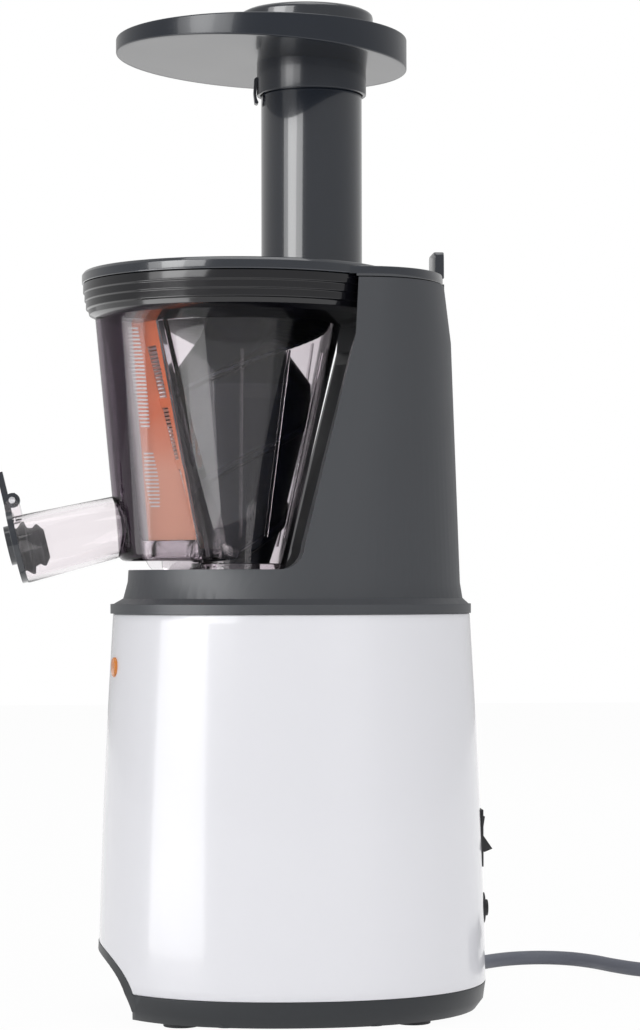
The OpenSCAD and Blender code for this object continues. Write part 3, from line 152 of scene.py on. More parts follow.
def settle(mesh, name, crease, merge=True):
    """Merges a mesh's doubles, turns its faces outwards and shades it smooth below crease."""
    edit = bmesh.new()
    edit.from_mesh(mesh)
    if merge:
        bmesh.ops.remove_doubles(edit, verts=edit.verts, dist=1e-6)
    bmesh.ops.dissolve_degenerate(edit, dist=1e-7, edges=edit.edges)
    bmesh.ops.recalc_face_normals(edit, faces=edit.faces)
    edit.to_mesh(mesh)
    edit.free()
    mesh.shade_smooth()
    mesh.set_sharp_from_angle(angle=math.radians(crease))
    piece = bpy.data.objects.new(name, mesh)
    bpy.context.scene.collection.objects.link(piece)
    return piece


def turned(profile, centre, steps=160, arc=(0.0, 360.0)):
    """A profile of (radius, height) turned about the upright axis through centre."""
    p = np.asarray(profile, float)
    a = np.radians(np.linspace(*arc, steps, endpoint=arc[1] - arc[0] < 360))
    x = centre[0] + p[:, :1] * np.cos(a)
    y = centre[1] + p[:, :1] * np.sin(a)
    return np.stack([x, y, np.broadcast_to(p[:, 1:], x.shape)], -1)


def rounded(corners, radius, steps=5):
    """A closed outline whose corners are replaced by arcs tangent to both sides."""
    c = np.asarray(corners, float)
    r = np.broadcast_to(np.asarray(radius, float), len(c))
    out = []
    for k in range(len(c)):
        a, b = c[k - 1] - c[k], c[(k + 1) % len(c)] - c[k]
        la, lb = np.linalg.norm(a), np.linalg.norm(b)
        a, b = a / la, b / lb
        half = math.acos(max(-1.0, min(1.0, float(a @ b)))) / 2
        cut = min(r[k] / math.tan(half), 0.49 * la, 0.49 * lb) if half < 1.55 else 0
        if cut < 1e-7:
            out.append(c[k][None])
            continue
        t = np.linspace(0, 1, steps)[:, None]
        p, q = c[k] + a * cut, c[k] + b * cut
        out.append((1 - t) ** 2 * p + 2 * t * (1 - t) * c[k] + t**2 * q)
    return np.concatenate(out)


def oval(half_w, half_d, count=256, power=2.2):
    """A plan outline: (w cos^(2/p), d sin^(2/p)) with the signs kept."""
    t = np.linspace(0, 2 * np.pi, count, endpoint=False)
    c, s = np.cos(t), np.sin(t)
    return np.stack([half_w * np.sign(c) * np.abs(c) ** (2 / power),
                     half_d * np.sign(s) * np.abs(s) ** (2 / power)], -1)


def tube(path, radius, sides=20):
    """A ring carried along a path: each ring is square to the path's own direction."""
    p = np.asarray(path, float)
    t = np.gradient(p, axis=0)
    t /= np.linalg.norm(t, axis=1)[:, None]
    side = np.cross(t, [0.0, 0.0, 1.0])
    side /= np.linalg.norm(side, axis=1)[:, None]
    up = np.cross(side, t)
    a = np.linspace(0, 2 * np.pi, sides, endpoint=False)
    r = np.broadcast_to(np.asarray(radius, float), len(p))[:, None, None]
    return p[:, None] + r * (np.cos(a)[None, :, None] * side[:, None]
                             + np.sin(a)[None, :, None] * up[:, None])


def smooth_path(points, spacing=2.5 * MM):
    """A Catmull-Rom curve through the points, sampled at even steps of its length."""
    p = np.asarray(points, float)
    ends = np.concatenate([[2 * p[0] - p[1]], p, [2 * p[-1] - p[-2]]])
    t = np.linspace(0, 1, 24, endpoint=False)[:, None]
    runs = []
    for a, b, c, d in zip(ends, ends[1:], ends[2:], ends[3:]):
        runs.append(0.5 * (2 * b + (c - a) * t + (2 * a - 5 * b + 4 * c - d) * t**2
                           + (3 * b - a - 3 * c + d) * t**3))
    dense = np.concatenate(runs + [p[-1:]])
    along = np.concatenate([[0], np.cumsum(np.linalg.norm(np.diff(dense, axis=0), axis=1))])
    even = np.linspace(0, along[-1], max(2, int(along[-1] / spacing)))
    return np.stack([np.interp(even, along, dense[:, k]) for k in range(3)], -1)


def carved(piece, *cutters, crease=35.0):
    """The piece with the cutters' space taken out exactly, and edges sharp above crease."""
    for cutter in cutters:
        step = piece.modifiers.new("cut", "BOOLEAN")
        step.operation, step.solver, step.object = "DIFFERENCE", "EXACT", cutter
    view = bpy.context.evaluated_depsgraph_get()
    mesh = bpy.data.meshes.new_from_object(piece.evaluated_get(view))
    piece.modifiers.clear()
    mesh.set_sharp_from_angle(angle=math.radians(crease))
    piece.data = mesh
    for cutter in cutters:
        bpy.data.objects.remove(cutter)
    return piece


def copy_of(node, name, crease=35.0, flat=0.5):
    """The CAD node's own surface, merged, with its flat faces joined, shaded smooth."""
    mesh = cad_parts[node].data.copy()
    mesh.materials.clear()
    edit = bmesh.new()
    edit.from_mesh(mesh)
    bmesh.ops.remove_doubles(edit, verts=edit.verts, dist=2e-6)
    bmesh.ops.dissolve_limit(edit, angle_limit=math.radians(flat), verts=edit.verts,
                             edges=edit.edges)
    edit.to_mesh(mesh)
    edit.free()
    mesh.shade_smooth()
    mesh.set_sharp_from_angle(angle=math.radians(crease))
    piece = bpy.data.objects.new(name, mesh)
    bpy.context.scene.collection.objects.link(piece)
    return piece


def fit_out(piece, body, material, slot, *nodes, bevel=0.0):
    """Gives a finished piece its material, its body and the CAD nodes that it stands for."""
    piece.data.materials.clear()
    piece.data.materials.append(material)
    if bevel:
        edge = piece.modifiers.new("edges", "BEVEL")
        edge.width, edge.segments, edge.limit_method = bevel, 2, "ANGLE"
        edge.angle_limit = math.radians(38)
        edge.harden_normals = True
    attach(piece, body)
    if nodes:
        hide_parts(*nodes)
    return piece


def paint(node, material):
    """A CAD node whose shape is right gets a finish of its own."""
    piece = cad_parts[node]
    piece.data.materials.clear()
    piece.data.materials.append(material)
    return piece


# ------------------------------------------------------------------ materials
class Value:
    """One output of a shader node; arithmetic on it adds Math nodes."""

    def __init__(self, shader, socket):
        self.shader, self.socket = shader, socket

    def maths(self, operation, a, b):
        return self.shader.node("Math", {"operation": operation}, {0: a, 1: b})

    def __add__(self, other):
        return self.maths("ADD", self, other)

    def __radd__(self, other):
        return self.maths("ADD", other, self)

    def __sub__(self, other):
        return self.maths("SUBTRACT", self, other)

    def __rsub__(self, other):
        return self.maths("SUBTRACT", other, self)

    def __mul__(self, other):
        return self.maths("MULTIPLY", self, other)

    def __rmul__(self, other):
        return self.maths("MULTIPLY", other, self)


class Shader:
    """The nodes of one material, with its Principled surface."""

    def __init__(self, name, **settings):
        self.material = bpy.data.materials.new(name)
        self.material.use_nodes = True
        self.tree = self.material.node_tree
        self.tree.nodes.clear()
        self.surface = self.tree.nodes.new("ShaderNodeBsdfPrincipled")
        self.output = self.tree.nodes.new("ShaderNodeOutputMaterial")
        self.tree.links.new(self.surface.outputs[0], self.output.inputs[0])
        self.set(**settings)

    def node(self, kind, settings=None, inputs=None, out=0):
        """Adds a node: its settings first, then the values or links of its sockets."""
        made = self.tree.nodes.new("ShaderNode" + kind)
        for key, value in (settings or {}).items():
            if key == "stops":
                ramp = made.color_ramp
                while len(ramp.elements) < len(value):
                    ramp.elements.new(0.5)
                for stop, (place, colour) in zip(ramp.elements, value):
                    stop.position, stop.color = place, colour
            else:
                setattr(made, key, value)
        for key, value in (inputs or {}).items():
            if isinstance(value, Value):
                self.tree.links.new(value.socket, made.inputs[key])
            else:
                made.inputs[key].default_value = value
        return Value(self, made.outputs[out])

    def set(self, **sockets):
        """Values or links of the surface's own sockets, by their names with underscores."""
        for key, value in sockets.items():
            socket = self.surface.inputs[key.replace("_", " ")]
            if isinstance(value, Value):
                self.tree.links.new(value.socket, socket)
            else:
                socket.default_value = value
        return self

    def place(self):
        """Object coordinates, in metres."""
        return self.node("TexCoord", out="Object")

    def noise(self, scale, detail=2.0, roughness=0.5, at=None, stretch=None):
        """Soft noise with scale cells to the metre, stretched along an axis where asked."""
        where = at or self.place()
        if stretch:
            where = self.node("Mapping", inputs={"Vector": where, "Scale": stretch})
        return self.node("TexNoise", inputs={"Vector": where, "Scale": scale, "Detail": detail,
                                             "Roughness": roughness})

    def blend(self, factor, first, second):
        """A colour between first and second by factor."""
        return self.node("Mix", {"data_type": "RGBA"}, {"Factor": factor, 6: first, 7: second},
                         out=2)

    def ramp(self, value, *stops):
        """A grey ramp of (place, level) stops over a value."""
        return self.node("ValToRGB", {"stops": [(p, (v, v, v, 1)) for p, v in stops]},
                         {"Fac": value})

    def bump(self, height, depth, strength=1.0):
        """A relief of that depth in metres that feeds the surface's normal."""
        self.set(Normal=self.node("Bump", inputs={"Height": height, "Distance": depth,
                                                  "Strength": strength}))
        return self


def shade(colour, factor):
    """The colour times a factor, as RGBA."""
    return tuple(min(1.0, c * factor) for c in colour[:3]) + (1.0,)


WHITE = (1.0, 1.0, 1.0, 1.0)


def linear(red, green, blue):
    """An 8-bit sRGB colour as linear RGB."""
    return tuple(((v / 255 + 0.055) / 1.055) ** 2.4 if v > 10 else v / 3294.6
                 for v in (red, green, blue))


def moulded(name, colour, gloss=0.45, grain=2600.0, depth=0.012 * MM, mottle=0.05, coat=0.0,
            level=0.5):
    """Moulded plastic: a fine spark-eroded grain, faint flow mottling and a gloss that varies."""
    s = Shader(name, Coat_Weight=coat, Coat_Roughness=0.08, IOR=1.48, Specular_IOR_Level=level)
    flow = s.noise(22.0, 3.0)
    s.set(Base_Color=s.blend(flow, shade(colour, 1 - mottle), shade(colour, 1 + mottle)),
          Roughness=gloss - 0.06 + 0.12 * s.noise(60.0, 4.0))
    s.bump(s.noise(grain, 3.0, 0.6) + 0.6 * s.noise(grain * 0.35), depth)
    return s.material


# The line behind the grey strip down the filter's front: y = -STRIP_BACK - STRIP_LEAN z
STRIP_BACK = 27.65 * MM
STRIP_LEAN = 0.077


def satin_with_painted_reflection(name, colour, pale, grey):
    """Satin plastic with a painted reflection that pales it down the filter, and a grey strip
    along its leaning front.
    """
    s = Shader(name, Coat_Weight=0.2, Coat_Roughness=0.08, IOR=1.48)
    foot, head = low("filter_frame", "Z"), high("filter_frame", "Z")
    y, z = (s.node("SeparateXYZ", inputs={"Vector": s.place()}, out=axis) for axis in "YZ")
    rise = (z - foot) * (1 / (head - foot))
    # painted reflection: the frame takes the pale colour towards its foot
    painted_reflection = s.ramp(rise + 0.12 * s.noise(55.0, 3.0), (0.36, 0.0), (0.62, 1.0))
    behind = (y + STRIP_LEAN * z + STRIP_BACK) * 100
    strip = s.ramp(behind + 0.02 * s.noise(90.0), (0.0, 0.0), (0.04, 1.0))
    plastic = s.blend(painted_reflection, shade(pale, 1), shade(colour, 1))
    s.set(Base_Color=s.blend(strip, shade(grey, 1), plastic),
          Roughness=0.34 + 0.12 * s.noise(60.0, 4.0))
    s.bump(s.noise(2600.0, 3.0, 0.6), 0.012 * MM)
    return s.material


def glossy(name, colour, gloss=0.16, ripple=0.03 * MM, coat=0.35, coat_ior=1.5):
    """Polished moulded plastic: a faint long ripple left by the mould, and hair-fine wear."""
    s = Shader(name, Coat_Weight=coat, Coat_Roughness=0.05, Coat_IOR=coat_ior, IOR=1.5)
    wear = s.ramp(s.noise(900.0, 4.0, 0.7, stretch=(1.0, 1.0, 0.12)), (0.62, 0.0), (0.85, 1.0))
    s.set(Base_Color=s.blend(s.noise(9.0), shade(colour, 0.985), shade(colour, 1.0)),
          Roughness=gloss + 0.05 * s.noise(35.0) + 0.05 * wear)
    s.bump(s.noise(48.0, 1.0), ripple)
    return s.material


def clear(name, colour, roughness=0.03, mottle=0.06, ripple=0.02 * MM, level=0.5):
    """Clear moulded plastic, tinted in its body, with flow lines from the mould."""
    s = Shader(name, Transmission_Weight=1.0, IOR=1.42, Specular_IOR_Level=level)
    flow = s.noise(18.0, 2.0, stretch=(1.0, 1.0, 0.35))
    s.set(Base_Color=s.blend(flow, shade(colour, 1 - mottle), shade(colour, 1 + mottle)),
          Roughness=roughness + 0.03 * s.noise(120.0, 3.0))
    s.bump(s.noise(70.0, 1.0), ripple)
    return s.material


def edged(name, colour, dark):
    """Clear plastic with painted shade: darker where its "front" attribute is low, at the
    chamber's front, where the wall is seen edge-on.
    """
    s = Shader(name, Transmission_Weight=1.0, IOR=1.36, Specular_IOR_Level=0.2)
    front = s.node("Attribute", {"attribute_name": "front"}, out="Fac")
    # painted shade: the dark colour where the wall is seen edge-on at the chamber's front
    painted_edge_shade = s.ramp(front + 0.04 * s.noise(60.0), (0.66, 0.0), (0.8, 1.0))
    s.set(Base_Color=s.blend(painted_edge_shade, shade(dark, 1), shade(colour, 1)),
          Roughness=0.03 + 0.03 * s.noise(120.0, 3.0))
    s.bump(s.noise(70.0, 1.0), 0.02 * MM)
    return s.material


def metal(name, colour, roughness=0.32, brush=(1.0, 1.0, 14.0), depth=0.006 * MM):
    """Turned or drawn metal: fine lines from the tool, and a roughness that follows them."""
    s = Shader(name, Metallic=1.0)
    lines = s.noise(1500.0, 4.0, 0.6, stretch=brush)
    s.set(Base_Color=s.blend(lines, shade(colour, 0.88), shade(colour, 1.04)),
          Roughness=roughness - 0.08 + 0.16 * lines)
    s.bump(lines, depth)
    return s.material


def cast(name, colour):
    """Die-cast metal: an orange-peel skin, duller in its hollows."""
    s = Shader(name, Metallic=0.85)
    skin = s.noise(420.0, 5.0, 0.65)
    s.set(Base_Color=s.blend(skin, shade(colour, 0.75), shade(colour, 1.05)),
          Roughness=0.42 + 0.25 * skin)
    s.bump(skin, 0.05 * MM)
    return s.material


def rubber(name, colour):
    """Moulded rubber: dull and finely pitted, with a dusty bloom in patches."""
    s = Shader(name, IOR=1.52)
    bloom = s.ramp(s.noise(150.0, 5.0), (0.4, 0.0), (0.75, 1.0))
    s.set(Base_Color=s.blend(bloom, shade(colour, 0.9), shade(colour, 1.35)),
          Roughness=0.62 + 0.2 * bloom)
    s.bump(s.noise(3200.0, 3.0), 0.02 * MM)
    return s.material


def laminated(name, colour):
    """Stacked sheet iron: the edges of its sheets, half a millimetre each, under varnish."""
    s = Shader(name, Metallic=0.7)
    sheets = s.node("TexWave", {"bands_direction": "Z"},
                    {"Vector": s.place(), "Scale": 310.0, "Distortion": 0.2})
    s.set(Base_Color=s.blend(sheets, shade(colour, 0.7), shade(colour, 1.1)),
          Roughness=0.4 + 0.2 * s.noise(200.0))
    s.bump(sheets, 0.04 * MM)
    return s.material


def wound(name, colour):
    """Enamelled wire: parallel strands a third of a millimetre apart along the coil."""
    s = Shader(name, Metallic=0.6, Coat_Weight=0.5)
    strands = s.node("TexWave", {"bands_direction": "X"},
                     {"Vector": s.place(), "Scale": 480.0, "Distortion": 0.6})
    s.set(Base_Color=s.blend(strands, shade(colour, 0.55), shade(colour, 1.15)),
          Roughness=0.3 + 0.15 * strands)
    s.bump(strands, 0.08 * MM)
    return s.material


def circuit(name, colour):
    """A printed board under its lacquer: a mottled mask over a faint glass weave."""
    s = Shader(name, Coat_Weight=0.4, Coat_Roughness=0.15)
    weave = s.node("TexWave", {"bands_direction": "Z"}, {"Vector": s.place(), "Scale": 300.0})
    s.set(Base_Color=s.blend(s.noise(260.0, 4.0), shade(colour, 0.7), shade(colour, 1.25)),
          Roughness=0.4 + 0.1 * weave)
    s.bump(weave, 0.01 * MM)
    return s.material


def sheathed(name, colour):
    """A cord's smooth sheath, with a faint lengthwise draw and a dull rubbed bloom."""
    s = Shader(name, IOR=1.5)
    draw = s.node("TexNoise", inputs={"Vector": s.node("UVMap"), "Scale": 90.0, "Detail": 3.0})
    s.set(Base_Color=s.blend(draw, shade(colour, 0.92), shade(colour, 1.08)),
          Roughness=0.42 + 0.14 * s.noise(90.0, 3.0))
    s.bump(s.noise(1900.0, 2.0), 0.01 * MM)
    return s.material


class JuicerColours(bpy.types.PropertyGroup):
    """The colours that a user would change."""

    shell: FloatVectorProperty(name="Shell", description="Glossy white body shell",
                               subtype="COLOR", default=linear(234, 234, 239))
    slate: FloatVectorProperty(name="Slate", description="Lid, tray and cap",
                               subtype="COLOR", default=linear(20, 27, 38))
    tower: FloatVectorProperty(name="Tower", description="Upper housing and tower",
                               subtype="COLOR", default=linear(67, 69, 73))
    base: FloatVectorProperty(name="Base", description="Base moulding",
                              subtype="COLOR", default=linear(38, 41, 45))
    smoke: FloatVectorProperty(name="Smoke", description="Tint of the clear bowl",
                               subtype="COLOR", default=(0.84, 0.805, 0.83))
    cassette: FloatVectorProperty(name="Cassette", description="Frame of the filter",
                                  subtype="COLOR", default=linear(214, 112, 66))
    badge: FloatVectorProperty(name="Badge", description="Plain badge on the front",
                               subtype="COLOR", default=linear(214, 128, 44))
    cord: FloatVectorProperty(name="Cord", description="Sheath of the mains cord",
                              subtype="COLOR", default=linear(104, 107, 117))


FINISHES = {}


def finishes(colours):
    """Every finish by name, made once."""
    if not FINISHES:
        FINISHES.update(
            shell=glossy("white_gloss", colours.shell),
            slate=glossy("slate_gloss", colours.slate, 0.17, 0.006 * MM, 1.0, 1.56),
            tray=glossy("tray_gloss", colours.slate, 0.2, 0.006 * MM, 0.3, 1.5),
            tower=moulded("tower_satin", colours.tower, 0.42, mottle=0.04),
            base=moulded("base_satin", colours.base, 0.4),
            pusher=moulded("pusher_satin", linear(70, 76, 84), 0.34),
            smoke=clear("smoked_clear", colours.smoke, level=0.2),
            # the dark colour is painted shade on the chamber's front
            chamber=edged("smoked_chamber", colours.smoke, (0.16, 0.13, 0.16)),
            spout=clear("spout_clear", (0.93, 0.9, 0.915)),
            rim=glossy("rim_gloss", linear(14, 14, 19), 0.12, 0.006 * MM),
            # the cassette's pale colour is a painted reflection low down on the filter
            cassette=satin_with_painted_reflection("cassette_satin", colours.cassette, linear(216, 158, 132),
                           linear(176, 174, 174)),
            badge=glossy("badge_gloss", colours.badge, 0.22),
            auger=moulded("auger_satin", linear(11, 14, 27), 0.34, level=0.15),
            steel=metal("turned_steel", (0.62, 0.62, 0.64)),
            mesh=metal("filter_steel", (0.66, 0.65, 0.64), 0.3, (1.0, 1.0, 1.0)),
            casting=cast("cast_alloy", (0.55, 0.56, 0.58)),
            iron=laminated("laminated_iron", (0.36, 0.37, 0.4)),
            copper=wound("wound_copper", (0.62, 0.27, 0.1)),
            bronze=metal("sintered_bronze", (0.55, 0.42, 0.22), 0.5),
            gear=moulded("gear_nylon", (0.74, 0.71, 0.62), 0.5, mottle=0.03),
            black=moulded("black_satin", linear(38, 38, 41), 0.38),
            board=circuit("lacquered_board", (0.03, 0.14, 0.07)),
            rubber=rubber("soft_rubber", linear(46, 47, 50)),
            seal=rubber("silicone_seal", linear(120, 121, 126)),
            cord=sheathed("cord_sheath", colours.cord),
        )
    return FINISHES


# ------------------------------------------------------------------ stage
class JuicerView(bpy.types.PropertyGroup):
    """Where the photograph was taken from."""

    azimuth: FloatProperty(name="Azimuth", description="0 looks along +Y, 90 along -X",
                           default=math.radians(86.0), subtype="ANGLE")
    height: FloatProperty(name="Height", description="Of the camera above the table",
                          default=0.1826, unit="LENGTH")
    distance: FloatProperty(name="Distance", description="From the plane X = 0, level",
                            default=1.2, unit="LENGTH")
    pitch: FloatProperty(name="Pitch", description="Upwards tilt of the camera",
                         default=math.radians(1.382), subtype="ANGLE")
    roll: FloatProperty(name="Roll", description="Turn of the picture about its middle",
                        default=math.radians(-0.1), subtype="ANGLE")
    focal: FloatProperty(name="Focal length", description="On a sensor 36 mm wide",
                         default=157.2)
    aim_y: FloatProperty(name="Aim", description="Y at the middle of the picture",
                         default=0.0307, unit="LENGTH")


def soft_lamp(name, place, target, width, height, power, unseen=""):
    """A rectangular studio lamp at place that faces target; unseen names rays that miss it."""
    light = bpy.data.lights.new(name, "AREA")
    light.shape, light.size, light.size_y = "RECTANGLE", width, height
    light.energy = power
    lamp = bpy.data.objects.new(name, light)
    bpy.context.scene.collection.objects.link(lamp)
    way = Vector(target) - Vector(place)
    turn = way.to_track_quat("-Z", "Y").to_matrix().to_4x4()
    lamp.matrix_world = Matrix.Translation(place) @ turn
    if unseen:
        setattr(lamp, "visible_" + unseen, False)


def seen_as_white(nodes, links, surface):
    """Mixes the sky with plain white wherever the camera or clear plastic sees it."""
    path = nodes.new("ShaderNodeLightPath")
    white = nodes.new("ShaderNodeBackground")
    seen = nodes.new("ShaderNodeMath")
    seen.operation = "MAXIMUM"
    links.new(path.outputs["Is Transmission Ray"], seen.inputs[0])
    links.new(path.outputs["Is Camera Ray"], seen.inputs[1])
    mix = nodes.new("ShaderNodeMixShader")
    links.new(seen.outputs[0], mix.inputs[0])
    links.new(surface.outputs[0], mix.inputs[1])
    links.new(white.outputs[0], mix.inputs[2])
    return mix, white


class JUICER_OT_stage(bpy.types.Operator):
    """Places the camera, the pale floor, the white backdrop and the soft lamps"""

    bl_idname = "juicer.stage"
    bl_label = "Stage and camera"

    def execute(self, context):
        view = context.scene.juicer_view
        scene = context.scene
        data = bpy.data.cameras.new("camera")
        data.sensor_fit, data.sensor_width, data.lens = "HORIZONTAL", 36.0, view.focal
        data.clip_end = 20.0
        camera = bpy.data.objects.new("camera", data)
        scene.collection.objects.link(camera)
        a = view.azimuth
        way = Vector((-math.sin(a) * math.cos(view.pitch), math.cos(a) * math.cos(view.pitch),
                      math.sin(view.pitch)))
        place = Vector((view.distance, view.aim_y - view.distance / math.tan(a),
                        view.height))
        turn = way.to_track_quat("-Z", "Y") @ Matrix.Rotation(view.roll, 3, "Z").to_quaternion()
        camera.matrix_world = Matrix.Translation(place) @ turn.to_matrix().to_4x4()
        scene.camera = camera

        floor = Form().grid(np.array([[[-3, -3, 0], [3, -3, 0]], [[-3, 3, 0], [3, 3, 0]]], float),
                            wrap_columns=False).object("floor")
        s = Shader("pale_floor", Base_Color=(0.8, 0.8, 0.8, 1), Roughness=0.6)
        s.set(Base_Color=s.blend(s.noise(3.0), (0.79, 0.79, 0.79, 1), (0.81, 0.81, 0.81, 1)))
        path = s.node("LightPath", out="Is Camera Ray")
        mirrored = s.node("LightPath", out="Is Glossy Ray")
        s.set(Emission_Color=WHITE, Emission_Strength=0.0)
        lift = s.tree.nodes.new("ShaderNodeEmission")
        lift.inputs["Strength"].default_value = 1.0
        mix = s.tree.nodes.new("ShaderNodeMixShader")
        amount = path.maths("MAXIMUM", path, mirrored) * 0.965
        s.tree.links.new(amount.socket, mix.inputs[0])
        s.tree.links.new(s.surface.outputs[0], mix.inputs[1])
        s.tree.links.new(lift.outputs[0], mix.inputs[2])
        s.tree.links.new(mix.outputs[0], s.output.inputs[0])
        floor.data.materials.append(s.material)

        world = bpy.data.worlds.new("studio")
        scene.world = world
        world.use_nodes = True
        nodes, links = world.node_tree.nodes, world.node_tree.links
        nodes.clear()
        fill = nodes.new("ShaderNodeBackground")
        fill.inputs["Color"].default_value = WHITE
        fill.inputs["Strength"].default_value = 0.5
        mix, white = seen_as_white(nodes, links, fill)
        white.inputs["Color"].default_value = WHITE
        white.inputs["Strength"].default_value = 1.0
        output = nodes.new("ShaderNodeOutputWorld")
        links.new(mix.outputs[0], output.inputs["Surface"])

        target = (0, 0, 0.2)
        soft_lamp("lamp_front", (0.9, -1.3, 0.9), target, 0.9, 1.3, 8.5)
        soft_lamp("lamp_side", (1.5, 0.7, 0.6), target, 0.7, 1.3, 7, "glossy")
        soft_lamp("lamp_top", (0.1, 0.1, 1.7), target, 1.1, 1.1, 5.5)
        soft_lamp("lamp_rear", (-1.1, 1.0, 0.8), target, 0.8, 1.0, 5.5, "glossy")
        # a tall softbox that only shows as the pale band on glossy pieces
        soft_lamp("lamp_strip", (1.11, -1.0, 0.85), (0, 0, 0.35), 0.95, 1.1, 11, "diffuse")
        # a low card beside the bowl, which shows as the grey band down its cone
        soft_lamp("lamp_card", (0.2, -0.31, 0.14), target, 0.25, 0.28, 0.75, "diffuse")
        scene.view_settings.view_transform = "Standard"
        return {"FINISHED"}


# ------------------------------------------------------------------ cord
CORD_D = 6.5 * MM
# The lead's route from the strain relief to the coil, as in the CAD source
LEAD = [(-80, 91, 6.9), (-89, 97, 5.2), (-99, 104, 3.8), (-108, 110.5, 3.3), (-118, 119, 3.3),
        (-126.5, 131, 3.3), (-129, 145, 3.3), (-124, 158, 3.3), (-113, 167.5, 3.3),
        (-99.5, 174.5, 3.3), (-86.5, 183, 3.3), (-76, 195, 3.3), (-68, 208, 3.3), (-60, 221, 3.3)]
GLAND_TURN = math.radians(145.0)
GLAND_LENGTH = 25 * MM
EXIT = np.array([-55 * MM, 0.0, 7.2 * MM])
COIL_TURNS = 4.5
COIL_MID_R = 34 * MM
CLIMB_INSET = 0.4


def body_reach(x):
    """How far the body's oval plan reaches along Y at x, at the table's end of the shell."""
    return BODY_HALF_D * (1 - (abs(x) / BODY_HALF_W) ** 2.2) ** (1 / 2.2)


def cord_route():
    """The strain relief's start, way and end, and the route from there through the coil.

    The coil's radius falls by a step a turn in its lower layer, grows again in its upper layer,
    and its height rises between them as half a cosine wave.
    """
    start = EXIT + [0, BODY_Y + body_reach(EXIT[0]), 0]
    out = np.array([math.cos(GLAND_TURN), math.sin(GLAND_TURN), 0.0])
    relief = start + GLAND_LENGTH * out
    lead = np.array(LEAD) * MM
    way = (lead[-1] - lead[-2]) / np.linalg.norm(lead[-1] - lead[-2])
    step = 1.1 * CORD_D
    outer = COIL_MID_R + step * (COIL_TURNS / 2 - 0.5) / 2
    first = lead[-1] + CORD_D * way
    centre = first + outer * np.array([-way[1], way[0], 0.0])
    angle = math.atan2(first[1] - centre[1], first[0] - centre[0])
    half = COIL_TURNS / 2
    t = np.linspace(0, COIL_TURNS, round(24 * COIL_TURNS) + 1)
    climb = np.clip(2 * t - COIL_TURNS + 0.5, 0, 1)
    inward = np.where(t < half - 0.25, t, np.where(t > half + 0.25, COIL_TURNS - t, half - 0.25))
    r = outer - step * inward - step * CLIMB_INSET * np.sin(np.pi * climb) ** 2
    a = angle + 2 * np.pi * t
    z = CORD_D / 2 + 0.05 * MM + step * (1 - np.cos(np.pi * climb)) / 2
    coil = np.stack([centre[0] + r * np.cos(a), centre[1] + r * np.sin(a), z], -1)
    end = np.array([-math.sin(a[-1]), math.cos(a[-1]), 0.0])
    tail = [coil[-1] + CORD_D * end, coil[-1] + 2 * CORD_D * end]
    return start, out, relief, np.concatenate([[relief], lead, coil, tail])


class JUICER_OT_cord(bpy.types.Operator):
    """Makes the strain relief, the mains cord with its coil, the tie and the plug"""

    bl_idname = "juicer.cord"
    bl_label = "Mains cord"

    def execute(self, context):
        finish = finishes(context.scene.juicer_colours)
        start, out, relief, route = cord_route()
        path = smooth_path(route, 2.2 * MM)
        cable = Form().grid(tube(path, CORD_D / 2, 18), close=("first", "last"))
        cable = cable.object("mains_cord", merge=False)
        wrap_cord(cable, path, 18)
        fit_out(cable, "power_unit", finish["cord"], "cord_grey", "cord_lead", "cord_coil")
        grip = strain_relief(start, out)
        fit_out(grip, "power_unit", finish["rubber"], "grey_rubber", "cord_gland")
        plug = copy_of("mains_plug", "plug_body")
        fit_out(plug, "power_unit", finish["black"], "black_plastic", "mains_plug")
        tie = copy_of("cord_tie", "coil_tie")
        fit_out(tie, "power_unit", finish["black"], "black_plastic", "cord_tie")
        return {"FINISHED"}


def wrap_cord(cable, path, sides):
    """A UV map that runs along the cord in metres and once round it."""
    mesh = cable.data
    along = np.concatenate([[0], np.cumsum(np.linalg.norm(np.diff(path, axis=0), axis=1))])
    index = np.empty(len(mesh.loops), np.int32)
    mesh.loops.foreach_get("vertex_index", index)
    uv = np.stack([along[index // sides] * 8, (index % sides) / sides * 0.2], -1)
    mesh.uv_layers.new(name="UVMap").data.foreach_set("uv", uv.astype(np.float32).ravel())


def strain_relief(start, out):
    """A tapered grip with five flexing grooves: its radius falls, and steps in at each groove."""
    s = np.linspace(0, 1, 61)
    r = (4.5 - 0.75 * s) * MM - 0.45 * MM * (np.sin(2 * np.pi * (s * 6 - 0.5)) > 0.2) * (s > 0.15)
    r = np.where(s < 0.06, 5.2 * MM, r)
    line = start + (0.8 * MM + s[:, None] * (GLAND_LENGTH - 0.8 * MM)) * out
    return Form().grid(tube(line, r, 40), close=("first", "last")).object("strain_relief", 30)


# ------------------------------------------------------------------ white body and base
WALL = 2.6 * MM
SHELL_DRAFT = (5.5 * MM, 6.3 * MM)
SHELL_BELLY = 0.8 * MM
BEZEL_LAP = 1.6 * MM
ARCH_HALF_W = 42 * MM
ARCH_TOP = BASE_TOP + 14 * MM
ARCH_BORDER = 3.5 * MM
ARCH_BACK = BODY_Y - BODY_HALF_D + 15 * MM


def body_ring(z, inset, count=320):
    """The oval plan at height z: it narrows evenly upwards and swells as half a sine wave."""
    rise = (z - BASE_TOP) / (SHELL_TOP - BASE_TOP)
    swell = SHELL_BELLY * math.sin(math.pi * min(1, max(0, rise)))
    ring = oval(BODY_HALF_W - SHELL_DRAFT[0] * rise + swell - inset,
                BODY_HALF_D - SHELL_DRAFT[1] * rise + swell - inset, count)
    return np.column_stack([ring[:, 0], ring[:, 1] + BODY_Y, np.full(count, z)])


def prism(outline, axis, start, end):
    """A closed outline of two coordinates carried along the third axis from start to end."""
    o = np.asarray(outline, float)
    rows = [np.insert(o, "XYZ".index(axis), np.full(len(o), place), axis=1)
            for place in (start, end)]
    return Form().grid(np.stack(rows), close=("first", "last"))


